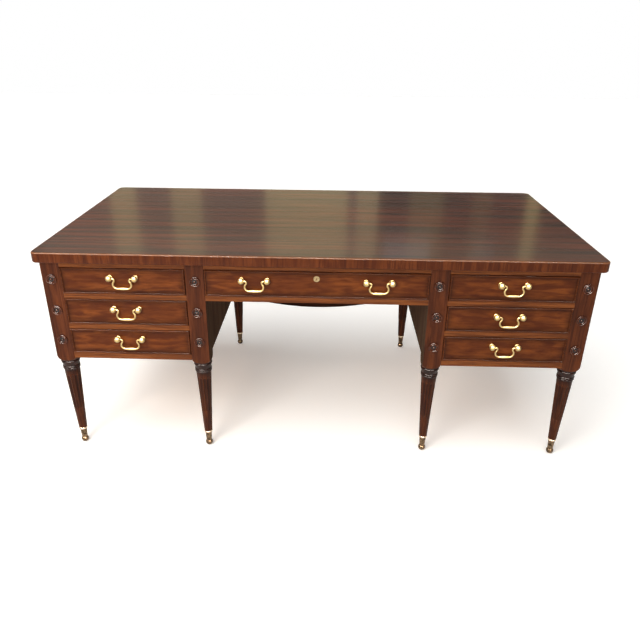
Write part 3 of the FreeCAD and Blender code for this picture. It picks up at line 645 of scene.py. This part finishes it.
@dataclass
class TurnedLegs:
    """Eight legs, each one length of wood: square post, pommel, rings and a stop-fluted taper."""

    half_post: float = 31.0
    # Height and radius of each turning point of the straight-sided stem.
    stem: tuple[Pair, ...] = (
        (66.0, 14.5), (320.0, 26.9), (334.0, 27.3), (346.5, 29.4), (355.5, 29.4), (361.0, 31.2),
    )
    # Height, half-width and swell of each bead.
    beads: tuple[Triple, ...] = ((323.5, 3.4, 2.3), (330.5, 3.4, 2.3), (351.0, 4.2, 2.6))
    pommel_low: float = 361.0
    pommel_high: float = 392.0
    pommel_radius: float = 44.2
    rings_low: float = 318.0  # height over which the stem is glossy
    bead_low: float = 319.0  # lowest ring of points under the beads
    # How far the tip's rings of points end below the flutes, and the post's over the pommel.
    run_on: float = 2.0
    flutes: int = 12
    flute_low: float = 154.0
    flute_high: float = 298.0
    flute_depth: float = 3.6
    flute_share: float = 0.84  # width of a flute over the distance between flutes
    flute_end: float = 9.0  # length of the round that a flute starts and stops in
    flute_clear: float = 12.0  # distance from a flute's end to the rings of points along it
    arris_power: float = 70.0  # power of the norm that eases the arrises of the square
    around: int = 240
    # Rings of points on the tip, on each end of the flutes, along them and on the beads.
    steps: tuple[int, int, int, int] = (8, 9, 14, 85)
    pommel_steps: int = 40
    post_steps: Pair = (470.0, 600.0)  # heights of the rings of points on the square post
    flute_shade: float = 0.6  # rim value in the hollow of a flute
    ring_shade: float = 0.9  # rim value over the flutes
    facing: float = 0.9  # least share of a normal along an axis for a face that looks that way

    def lathe(self, z: np.ndarray) -> np.ndarray:
        """Lathe radius: the straight-sided stem, half-round beads on it, and a convex pommel over it.

        A bead at height c adds p * sqrt(1 - ((z - c) / w)^2) within its half-width w. The pommel swells
        as a quarter ellipse, sqrt(1 - (1 - t)^2), with t running from 0 to 1 up its height.

        Args:
            z: heights.

        Returns:
            Radius at each height.
        """
        heights, radii = np.array(self.stem).T
        radius = np.interp(z, heights, radii)
        for centre, half, proud in self.beads:
            radius = radius + proud * np.sqrt(np.clip(1 - ((z - centre) / half) ** 2, 0, None))
        rise = np.clip((z - self.pommel_low) / (self.pommel_high - self.pommel_low), 0, 1)
        return radius + (self.pommel_radius - radii[-1]) * np.sqrt(1 - (1 - rise) ** 2)

    def heights(self) -> np.ndarray:
        """Heights of the rings of points on the turned stem, closer at the flutes' ends and the beads.

        Returns:
            The heights, from the tip to the pommel.
        """
        tip, end, flute, bead = self.steps
        low, high, clear = self.flute_low, self.flute_high, self.flute_clear
        return np.concatenate([
            np.linspace(self.stem[0][0], low - self.run_on, tip),
            np.linspace(low, low + self.flute_end, end),
            np.linspace(low + clear, high - clear, flute),
            np.linspace(high - self.flute_end, high, end),
            np.linspace(self.bead_low, self.pommel_low, bead),
        ])

    def surface(self, z: np.ndarray) -> Patch:
        """Length of a leg: the lesser of the square's and the lathe's radius, less the flutes.

        The square is a high-power norm, h / (|cos|^p + |sin|^p)^(1/p), which eases its arrises. A flute
        takes depth * sqrt(e^2 - u^2), with u running from -1 to 1 across it and e rising from 0 to 1
        on a quarter circle at each end, so that it starts and stops in a round. The rim value paints
        shade into the hollows and darkens the turning above them.

        Args:
            z: heights of the rings of points.

        Returns:
            The surface between the first and the last height.
        """
        z = z[:, None]
        angle = np.arange(self.around)[None, :] * 2 * math.pi / self.around
        power = self.arris_power
        norm = (np.abs(np.cos(angle)) ** power + np.abs(np.sin(angle)) ** power) ** (1 / power)
        radius = np.minimum(self.half_post / norm, self.lathe(z))
        ends = np.minimum(z - self.flute_low, self.flute_high - z) / self.flute_end
        run_out = np.sqrt(1 - (1 - np.clip(ends, 0, 1)) ** 2)
        pitch = 2 * math.pi / self.flutes
        across = ((angle % pitch) - pitch / 2) / (pitch / 2 * self.flute_share)
        hollow = np.sqrt(np.clip(run_out ** 2 - across ** 2, 0, None))
        radius = radius - self.flute_depth * hollow * radius / self.stem[1][1]
        # Painted shade: the rim value darkens the flutes' hollows and the stem from the flutes up to
        # the rings.
        above = np.clip((z - self.flute_high) / self.flute_end, 0, self.ring_shade)
        darkening = np.maximum(self.flute_shade * hollow, above)
        return Patch.from_rings(radius * np.cos(angle), radius * np.sin(angle), z, rim=darkening)

    def nodes(self) -> list[str]:
        """Names of the CAD legs."""
        return sorted(name for name in frame["nodes"] if name.startswith("leg_"))

    def centres(self, row: str = "") -> list[Pair]:
        """Places of the leg axes, of one row or of all."""
        boxes = [box_mm(name) for name in self.nodes() if name.startswith(f"leg_{row}")]
        return [tuple((low + high)[:2] / 2) for low, high in boxes]

    def dress(self) -> None:
        """Makes a post and a stem in place of each leg's solid."""
        top = box_mm(self.nodes()[0])[1][2]
        stem = self.surface(self.heights())
        pommel = np.linspace(self.pommel_low, self.pommel_high + self.run_on, self.pommel_steps)
        post = self.surface(np.concatenate([pommel, self.post_steps, [top]]))
        for name, (x, y) in zip(self.nodes(), self.centres()):
            square = make_piece(f"post_of_{name}", [post.moved(x, y, 0)], Slot.POSTS, ROOT, (name,))
            if "inner" in name:
                # The face towards the kneehole takes the kneehole's painted shade, as the panel beside
                # it.
                inwards = of_faces(square, "normal", 0) * -math.copysign(1, x)
                give_faces(square, inwards > self.facing, Look.KNEEHOLE)
            turning = make_piece(f"stem_of_{name}", [stem.moved(x, y, 0)], Slot.POSTS, ROOT, (name,),
                                 Look.TURNING)
            # The rings over the flutes have the gloss of much handled turning.
            give_faces(turning, of_faces(turning, "center", 2) > self.rings_low * MM, Look.RINGS)


@dataclass
class BrassFeet:
    """Cast foot under each leg: a ring with a painted highlight, a tapered socket and a ball with a
    small flat.
    """

    ball_radius: float = 13.3
    ball_centre: float = 12.4
    flat_radius: float = 5.6
    neck_radius: float = 10.2
    socket_radius: float = 12.7
    ring_low: float = 58.0
    ring_high: float = 66.0
    ring_proud: float = 2.3
    neck_share: float = 0.06  # share of the socket's height at which its hollow side starts
    hollow_power: float = 1.4  # power of the height that the hollow side widens with
    pole: float = 0.5  # radius of the disc that closes the ball
    bore: float = 1.0  # inner radius of the ring
    ball_steps: int = 22
    socket_steps: int = 10
    ring_steps: int = 15
    sides: int = 48

    def socket(self) -> Patch:
        """Ball and socket: an arc of the ball from its flat to the neck, then a hollow-sided cone.

        Returns:
            The socket on the Z axis.
        """
        start = -math.acos(self.flat_radius / self.ball_radius)
        end = math.acos(self.neck_radius / self.ball_radius)
        turn = np.linspace(start, end, self.ball_steps)
        rise = np.linspace(self.neck_share, 1, self.socket_steps)
        neck_z = self.ball_centre + self.ball_radius * math.sin(end)
        radius = np.concatenate([
            [self.pole], self.ball_radius * np.cos(turn),
            self.neck_radius + (self.socket_radius - self.neck_radius) * rise ** self.hollow_power,
        ])
        height = np.concatenate([
            [0.0], self.ball_centre + self.ball_radius * np.sin(turn),
            neck_z + (self.ring_low - neck_z) * rise,
        ])
        return turned(radius, np.maximum(height, 0), self.sides)

    def ring(self) -> Patch:
        """Half-round ring over the socket: a half ellipse turned about the axis.

        Returns:
            The ring on the Z axis.
        """
        turn = np.linspace(-math.pi / 2, math.pi / 2, self.ring_steps)
        middle, half = (self.ring_low + self.ring_high) / 2, (self.ring_high - self.ring_low) / 2
        swell = self.socket_radius + self.ring_proud * np.cos(turn)
        radius = np.concatenate([[self.bore], swell, [self.bore]])
        height = np.concatenate([[self.ring_low], middle + half * np.sin(turn), [self.ring_high]])
        return turned(radius, height, self.sides)

    def dress(self, centres: list[Pair]) -> None:
        """Makes the sockets and the rings of all the feet.

        Args:
            centres: places of the leg axes.
        """
        socket, ring = self.socket(), self.ring()
        make_piece("foot_sockets", [socket.moved(x, y, 0) for x, y in centres], Slot.FEET, ROOT,
                   ("brass_feet",))
        # The rings take a pale finish, a painted highlight over the sockets.
        make_piece("foot_rings", [ring.moved(x, y, 0) for x, y in centres], Slot.FEET, ROOT,
                   look=Look.FOOT_RING)


@dataclass
class Rosettes:
    """Turned rosettes on the front posts: two round rings about a domed button."""

    lift: float = 3.0  # height of a rosette over the middle of its drawer
    outer: Triple = (15.2, 2.3, 5.0)  # radius, half-width and height of the outer ring
    inner: Triple = (10.4, 1.9, 4.2)  # the same of the inner ring
    button: Pair = (3.9, 4.6)  # radius and height of the button
    floor: float = 1.1  # height of the ground between them
    edge: float = 17.5  # radius of the ground
    pole: float = 0.3  # radius of the disc that closes the button
    steps: int = 74
    sides: int = 56

    def build(self) -> Patch:
        """Turned profile: a low floor, a half-round over each ring and a half ellipse for the button.

        The rim value, painted shade, is one on the floor and falls to nothing at the height of the
        inner ring.

        Returns:
            The rosette about the origin, facing the sitter.
        """
        radius = np.concatenate([[self.edge], np.linspace(self.edge, self.pole, self.steps)])
        height = np.full_like(radius, self.floor)
        for centre, half, tall in (self.outer, self.inner):
            swell = np.sqrt(np.clip(1 - ((radius - centre) / half) ** 2, 0, None))
            height = np.maximum(height, self.floor + (tall - self.floor) * swell)
        reach, tall = self.button
        height = np.maximum(height, tall * np.sqrt(np.clip(1 - (radius / reach) ** 2, 0, None)))
        # Painted shade on the floor between the rings.
        hollow = np.clip(1 - (height - self.floor) / (self.inner[2] - self.floor), 0, 1)
        height[0] = 0.0
        return turned(radius, height, self.sides, hollow).facing_sitter()

    def dress(self, centres: list[Pair]) -> None:
        """Sets one rosette level with each drawer on every front post.

        Args:
            centres: places of the axes of the front legs.
        """
        front = box_mm("leg_front_outer_left")[0][1]
        rosette = self.build()
        fronts = [box_mm(f"drawer_front_left_{level}") for level in LEVELS]
        heights = [box[:, 2].mean() + self.lift for box in fronts]
        places = [(x, z) for x, _ in centres for z in heights]
        make_piece("post_rosettes", [rosette.moved(x, front, z) for x, z in places], Slot.POSTS, ROOT,
                   ("rosettes",), Look.CARVING)


@dataclass
class BeadedFronts:
    """Drawer fronts, each a veneered panel in a half-round cockbead, and the beads of the back."""

    bead_width: float = 5.0
    bead_proud: float = 4.0
    bead_steps: int = 13
    shade_width: float = 26.0
    shade_steps: int = 7

    def bead(self, x: Pair, z: Pair, face: float, rear: float) -> Patch:
        """Cockbead: a strip whose outer edge is a half ellipse, carried round the panel.

        Args:
            x: left and right edge of the bead.
            z: lower and upper edge of the bead.
            face: depth of the panel's face.
            rear: depth of the strip's hidden edge.

        Returns:
            The surface of the bead.
        """
        out = math.copysign(1.0, face - rear)
        turn = np.linspace(0, math.pi, self.bead_steps)
        half = self.bead_width / 2
        inset = np.concatenate([[0.0], half * (1 - np.cos(turn)), [self.bead_width]])
        straight = self.bead_proud - half
        depth = np.concatenate([[rear], face + out * (straight + half * np.sin(turn)), [rear]])
        return framed(x, z, inset, depth, joined=True)

    def panel(self, x: Pair, z: Pair, face: float, rear: float) -> Patch:
        """Veneered panel: rectangles from its rear to its face, then drawn in across the face.

        Args:
            x: left and right edge of the panel.
            z: lower and upper edge of the panel.
            face: depth of the face.
            rear: depth of the rear.

        Returns:
            The surface, with rim values that fall off from the bead inwards, as painted shade.
        """
        steps = np.linspace(0, 1, self.shade_steps)
        inset = np.concatenate([[0.0], self.shade_width * steps])
        depth = np.concatenate([[rear], np.full(len(steps), face)])
        # Painted shade beside the bead, fading inwards over shade_width.
        rim = np.concatenate([[1.0], (1 - steps) ** 2])
        return framed(x, z, inset, depth, joined=False, rim=rim)

    def dress(self) -> None:
        """Makes the panel and bead of every drawer, and the beads round the panels of the back."""
        width = self.bead_width
        backs = []
        rear_inner, rear_face = box_mm("back_panels")[:, 1]
        gap = box_mm("drawer_front_centre")[0][0] - box_mm("front_rails_kneehole")[0][0]
        for name in DRAWERS:
            node = f"drawer_front_{name}"
            (x0, y0, z0), (x1, rear, z1) = box_mm(node)
            face = y0 + self.bead_proud
            body = f"drawer_{name}"
            panel = self.panel((x0 + width, x1 - width), (z0 + width, z1 - width), face, rear)
            make_piece(f"front_panel_{name}", [panel], Slot.FRONTS, body, (node,))
            bead = self.bead((x0, x1), (z0, z1), face, rear)
            make_piece(f"cockbead_{name}", [bead], Slot.BEADS, body)
            backs.append(self.bead((x0 - gap, x1 + gap), (z0 - gap, z1 + gap), rear_face, rear_inner))
        make_piece("back_cockbeads", backs, Slot.BEADS, ROOT, ("back_beads",))


@dataclass
class BailPulls:
    """Brass pulls: ball-headed posts and a swan-necked bail that swings between them."""

    half_spacing: float = 42.0
    ball_radius: float = 10.4
    ball_centre: float = 12.0
    neck_radius: float = 4.8
    # Radius and height of each profile point of a post below its ball.
    flange: tuple[Pair, ...] = ((7.6, 0.0), (8.0, 0.3), (8.0, 0.9), (7.4, 1.3), (5.6, 2.0))
    pole_turn: float = 0.04  # angle short of the pole at which the ball is closed
    rod_radius: float = 2.7
    pin_radius: float = 2.0
    # Distances from the middle at which a pin starts, ends and becomes the rod.
    pin_stations: Triple = (38.0, 31.6, 31.2)
    shoulder: float = 5.5
    waist: float = 25.0  # distance from the middle at which the rod runs straight down
    swan: float = 9.0
    swan_turn: float = math.radians(40)  # angle that the neck turns outwards through
    drop: float = 34.5  # depth of the grip below the pins
    grip_radius: float = 4.4
    grip_run: float = 5.0  # how far the thicker grip reaches into the swell
    grip_taper: float = 1.5  # power of the cosine that thins the grip towards its ends
    grip_level: float = 0.8  # share of the drop below which the rod is the grip
    # Points on the shoulder, the neck, the swell and half the grip.
    steps: tuple[int, int, int, int] = (9, 7, 22, 14)
    ball_steps: int = 26
    sides: int = 40
    rod_sides: int = 20

    def post(self) -> Patch:
        """Post: a small flange and neck, then an arc of the ball, turned on its own axis.

        Returns:
            The post about the origin, facing the sitter.
        """
        start = -math.acos(self.neck_radius / self.ball_radius)
        turn = np.linspace(start, math.pi / 2 - self.pole_turn, self.ball_steps)
        radius, height = np.array(self.flange).T
        radius = np.concatenate([radius, self.ball_radius * np.cos(turn)])
        height = np.concatenate([height, self.ball_centre + self.ball_radius * np.sin(turn)])
        return turned(radius, height, self.sides).facing_sitter()

    def half_path(self) -> tuple[np.ndarray, np.ndarray, np.ndarray]:
        """Right half of the rod: a pin, then arcs that turn down, out and round to the level grip.

        Returns:
            X, Z and rod radius of each point, from the pin to the middle of the grip.
        """
        shoulder, neck, swelling, grip = self.steps
        quarter = np.linspace(math.pi / 2, math.pi, shoulder)
        out = np.linspace(math.pi, math.pi + self.swan_turn, neck)[1:]
        lean = math.sin(self.swan_turn)
        swell = (self.drop - self.shoulder - self.swan * lean) / (1 + lean)
        swell_x = self.waist + self.swan - (self.swan + swell) * math.cos(self.swan_turn)
        round_in = np.linspace(self.swan_turn, -math.pi / 2, swelling)[1:]
        level = np.linspace(1, 0, grip)[1:]
        x = np.concatenate([
            self.pin_stations, self.waist + self.shoulder + self.shoulder * np.cos(quarter),
            self.waist + self.swan + self.swan * np.cos(out), swell_x + swell * np.cos(round_in),
            swell_x * level,
        ])
        z = np.concatenate([
            np.zeros(3), self.shoulder * (np.sin(quarter) - 1), self.swan * np.sin(out) - self.shoulder,
            swell - self.drop + swell * np.sin(round_in), np.full(len(level), -self.drop),
        ])
        outwards = np.clip(np.abs(x) / (swell_x + self.grip_run), 0, 1)
        thicker = np.cos(outwards * math.pi / 2) ** self.grip_taper * (z < -self.drop * self.grip_level)
        radius = self.rod_radius + (self.grip_radius - self.rod_radius) * thicker
        radius[:2] = self.pin_radius
        return x, z, radius

    def bail(self) -> Patch:
        """Round rod along the mirrored half path: each ring lies across the path's own direction.

        Returns:
            The bail about its swing axis.
        """
        x, z, radius = self.half_path()
        x = np.concatenate([x, -x[-2::-1]])
        z = np.concatenate([z, z[-2::-1]])
        radius = np.concatenate([radius, radius[-2::-1]])
        along = np.stack([np.gradient(x), np.gradient(z)], axis=-1)
        along /= np.linalg.norm(along, axis=1, keepdims=True)
        turn = np.arange(self.rod_sides) * 2 * math.pi / self.rod_sides
        side = radius[:, None] * np.cos(turn)
        return Patch.from_rings(x[:, None] - along[:, 1:] * side, radius[:, None] * np.sin(turn),
                                z[:, None] + along[:, :1] * side)

    def dress(self) -> None:
        """Makes the bail of every swing joint, and the posts of every drawer."""
        post, bail = self.post(), self.bail()
        posts: dict[str, list[Patch]] = {}
        for joint in frame["joints"]:
            if not joint["child"].startswith("bail_"):
                continue
            x, y, z = np.array(joint["pos_m"]) / MM
            name, drawer = joint["child"], joint["parent"]
            make_piece(f"swan_neck_{name}", [bail.moved(x, y, z)], Slot.PULLS, name, (name,))
            face = box_mm(drawer.replace("drawer", "drawer_front"))[0][1] + BeadedFronts.bead_proud
            pair = [post.moved(x + side * self.half_spacing, face, z) for side in (-1, 1)]
            posts.setdefault(drawer, []).extend(pair)
        for drawer, patches in posts.items():
            node = drawer.replace("drawer", "pull_posts")
            make_piece(f"ball_{node}", patches, Slot.PULLS, drawer, (node,))


@dataclass
class Carcase:
    """CAD pieces whose shapes are right: each keeps its solid and gets its finish."""

    ease: float = 0.8  # width of an eased edge
    weld: float = 0.01  # distance within which the loose corners of a solid are joined first
    # Starts of the names of the boards whose edges are eased.
    eased: tuple[str, ...] = ("front_rails", "back_rails", "back_panels", "side_panel")
    # Solids that are set apart from the others of their slot.
    # The inner side panels take the kneehole's painted shade, and the aprons a dark painted shade.
    looks: dict[str, Look] = field(default_factory=lambda: {
        "side_panel_inner_left": Look.KNEEHOLE, "side_panel_inner_right": Look.KNEEHOLE,
        "kneehole_aprons": Look.APRON,
    })

    def dress(self) -> None:
        """Gives every CAD node its finish, and eases the edges of the plain boards."""
        for part in frame["record"]["subparts"]:
            name = part["node"]
            solid = frame["nodes"][name]
            solid.data.materials.clear()
            solid.data.materials.append(finish(self.looks.get(name) or Slot(part["material_slot"])))
            if not name.startswith(self.eased):
                continue
            weld = solid.modifiers.new("weld", "WELD")
            weld.merge_threshold = self.weld * MM
            bevel = solid.modifiers.new("ease", "BEVEL")
            bevel.width = self.ease * MM
            bevel.segments = 2
            bevel.limit_method = "ANGLE"
            bevel.angle_limit = SHARP_ANGLE


@dataclass(frozen=True)
class Softbox:
    """A rectangular area light: its place, the point that it faces and its size are in metres."""

    name: str
    place: Triple
    aim: Triple
    size: Pair
    watts: float
    colour: str
    shown: Shown = Shown.ON_ALL

    def hang(self) -> None:
        """Puts the light into the scene."""
        data = bpy.data.lights.new(self.name, "AREA")
        data.shape = "RECTANGLE"
        data.size, data.size_y = self.size
        data.energy = self.watts
        data.color = linear(self.colour)[:3]
        light = bpy.data.objects.new(self.name, data)
        facing = (Vector(self.aim) - Vector(self.place)).to_track_quat("-Z", "Y")
        light.matrix_world = Matrix.Translation(self.place) @ facing.to_matrix().to_4x4()
        light.visible_camera = False
        light.visible_diffuse = self.shown is not Shown.IN_POLISH
        light.visible_glossy = self.shown is not Shown.ON_WOOD
        if self.shown is Shown.IN_POLISH:
            light.light_linking.receiver_collection = self.all_but_top()
        bpy.context.scene.collection.objects.link(light)

    def all_but_top(self) -> bpy.types.Collection:
        """Receivers of a glint light: all but the flat top, which would mirror it as a white bar.

        Returns:
            The collection that leaves the top out.
        """
        receivers = bpy.data.collections.new("all_but_top")
        receivers.objects.link(frame["nodes"]["desk_top"])
        receivers.collection_objects[0].light_linking.link_state = "EXCLUDE"
        return receivers


@dataclass
class Studio:
    """Pale floor, soft lights and the camera of the photograph."""

    focal_px: float = 607.826  # focal length in pixels of an image that is image_px wide
    image_px: float = 640.0
    sensor_mm: float = 36.0
    # Pixel that the optical axis goes through, from the upper left corner.
    axis_px: Pair = (312.65, 322.09)
    camera_mm: Triple = (43.10, -2270.71, 1394.81)
    yaw: float = -0.0299  # turn of the camera to the right of +Y, in radians
    pitch: float = 0.4417  # turn down, in radians
    roll: float = -0.0078  # turn about its own axis, in radians
    floor_half: float = 14.0
    floor_glow: float = 0.3
    sun_watts: float = 2.5
    sun_spread: float = math.radians(60)
    sun_ahead: Triple = (0.25, 0.26, -1.0)  # direction that the key light shines in
    horizon: Pair = (0.06, 0.16)  # share of the way up, by sine, between which the sky dims
    # X, width and watts of each upright light that the top mirrors as a window.
    strips: tuple[Triple, ...] = (
        (-2.15, 0.28, 0.52), (-1.48, 0.32, 0.5), (-0.22, 0.86, 1.72), (0.42, 0.22, 0.34),
        (1.03, 0.35, 0.26), (1.6, 0.2, 0.09), (2.13, 0.14, 0.34),
    )
    # The same of the small cool lights over them.
    panes: tuple[Triple, ...] = ((0.86, 0.5, 0.2), (1.68, 0.24, 0.04))
    strip_row: Triple = (4.0, 2.0, 1.7)  # Y, Z and height of the strips
    pane_row: Triple = (4.05, 2.3, 0.26)  # the same of the panes
    # The other soft lights: one for the wood, three for glints, two for the haze on the top.
    lamps: tuple[Softbox, ...] = (
        Softbox("left_light", (-1.2, -2.4, 1.8), (-0.6, -0.45, 0.45), (1.2, 1.2), 54.0, "#FFF6EC",
                Shown.ON_WOOD),
        Softbox("window_light", (-0.9, -1.75, 3.3), (-0.5, -0.45, 0.6), (3.2, 0.55), 560.0, "#FFF2E8",
                Shown.IN_POLISH),
        Softbox("far_window_light", (1.5, -1.75, 3.3), (0.7, -0.45, 0.6), (1.6, 0.55), 130.0,
                "#FFF2E8", Shown.IN_POLISH),
        Softbox("front_window_light", (-0.6, -3.7, 2.3), (-0.2, -0.45, 0.4), (7.5, 0.4), 760.0,
                "#FFF2E8", Shown.IN_POLISH),
        Softbox("haze_light", (-1.35, 4.2, 2.0), (-1.35, 0.0, 2.0), (3.8, 1.7), 3.7, "#FFDFC6"),
        Softbox("high_haze_light", (0.0, 4.3, 2.55), (0.0, 0.0, 2.55), (7.0, 0.7), 4.4, "#EEF0D8"),
    )

    def camera(self) -> None:
        """Camera that looks along yaw and pitch, then rolls about its own axis."""
        data = bpy.data.cameras.new("photo_camera")
        data.sensor_fit = "HORIZONTAL"
        data.sensor_width = self.sensor_mm
        data.lens = self.focal_px / self.image_px * self.sensor_mm
        data.shift_x = 0.5 - self.axis_px[0] / self.image_px
        data.shift_y = self.axis_px[1] / self.image_px - 0.5
        data.clip_end = 100.0
        lens = bpy.data.objects.new("photo_camera", data)
        ahead = Euler((math.pi / 2 - self.pitch, 0, -self.yaw)).to_matrix().to_4x4()
        place = Matrix.Translation(Vector(self.camera_mm) * MM)
        lens.matrix_world = place @ ahead @ Matrix.Rotation(-self.roll, 4, "Z")
        bpy.context.scene.collection.objects.link(lens)
        bpy.context.scene.camera = lens

    def floor(self) -> None:
        """Pale floor: one flat face, lit a little from within like a light table, clear from below."""
        half = self.floor_half
        corners = [(-half, -half, 0), (half, -half, 0), (half, half, 0), (-half, half, 0)]
        mesh = bpy.data.meshes.new("floor")
        mesh.from_pydata(corners, [], [(0, 1, 2, 3)])
        material = empty_material("pale_floor")
        tree = material.node_tree
        pale = add_node(tree, "BsdfPrincipled", {
            "Base Color": linear("#F7F7F6"), "Roughness": 0.9, "Specular IOR Level": 0.1,
            "Emission Color": linear("#FFFFFF"), "Emission Strength": self.floor_glow,
        })
        below = add_node(tree, "NewGeometry", {}).outputs["Backfacing"]
        clear = add_node(tree, "BsdfTransparent", {})
        seen = add_node(tree, "MixShader", {0: below, 1: pale.outputs[0], 2: clear.outputs[0]})
        add_node(tree, "OutputMaterial", {"Surface": seen.outputs[0]})
        mesh.materials.append(material)
        floor = bpy.data.objects.new("floor", mesh)
        bpy.context.scene.collection.objects.link(floor)

    def sun(self) -> None:
        """Broad key light from the front, the left and above, which lights the whole floor alike."""
        data = bpy.data.lights.new("key_light", "SUN")
        data.energy = self.sun_watts
        data.angle = self.sun_spread
        data.color = linear("#FFFDFA")[:3]
        light = bpy.data.objects.new("key_light", data)
        light.matrix_world = Vector(self.sun_ahead).to_track_quat("-Z", "Y").to_matrix().to_4x4()
        bpy.context.scene.collection.objects.link(light)

    def sky(self) -> None:
        """White all round, which turns to a calmer grey overhead for what is mirrored and lit by it."""
        world = bpy.data.worlds.new("studio")
        world.use_nodes = True
        tree = world.node_tree
        tree.nodes.clear()
        place = add_node(tree, "TexCoord", {}).outputs["Generated"]
        height = add_node(tree, "SeparateXYZ", {0: place}).outputs[2]
        share = add_node(tree, "MapRange", {
            "Value": height, "From Min": self.horizon[0], "From Max": self.horizon[1],
        }, interpolation_type="SMOOTHSTEP").outputs[0]
        dimmed = add_node(tree, "Mix", {
            0: share, 6: linear("#FFFFFF"), 7: linear("#4C4B49"),
        }, data_type="RGBA").outputs[2]
        straight = add_node(tree, "LightPath", {}).outputs["Is Camera Ray"]
        colour = add_node(tree, "Mix", {
            0: straight, 6: dimmed, 7: linear("#FFFFFF"),
        }, data_type="RGBA").outputs[2]
        glow = add_node(tree, "Background", {"Color": colour, "Strength": 1.0})
        add_node(tree, "OutputWorld", {"Surface": glow.outputs[0]})
        bpy.context.scene.world = world

    def windows(self) -> list[Softbox]:
        """Lights behind the desk that stand where the photograph's top mirrors windows.

        Returns:
            The strips, then the panes.
        """
        rows = (
            ("strip", self.strips, self.strip_row, "#FAEBA2"),
            ("pane", self.panes, self.pane_row, "#CDE6F2"),
        )
        return [
            Softbox(f"{kind}_light_{x}", (x, y, z), (x, 0.0, z), (width, tall), watts, colour)
            for kind, lights, (y, z, tall), colour in rows for x, width, watts in lights
        ]

    def build(self) -> None:
        """Sets up the floor, the sky, the camera and the lights."""
        self.floor()
        self.sky()
        self.camera()
        self.sun()
        for softbox in (*self.lamps, *self.windows()):
            softbox.hang()
        bpy.context.scene.view_settings.view_transform = "Standard"
        LOG.info("studio: %d lights", len(bpy.data.lights))


def main() -> None:
    """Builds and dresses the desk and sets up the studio."""
    logging.basicConfig(level=logging.INFO, format="%(message)s")
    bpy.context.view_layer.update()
    legs = TurnedLegs()
    Carcase().dress()
    TopBand().dress()
    legs.dress()
    BrassFeet().dress(legs.centres())
    Rosettes().dress(legs.centres("front"))
    BeadedFronts().dress()
    BailPulls().dress()
    Studio().build()
    bpy.context.view_layer.update()


if __name__ == "__main__":
    main()
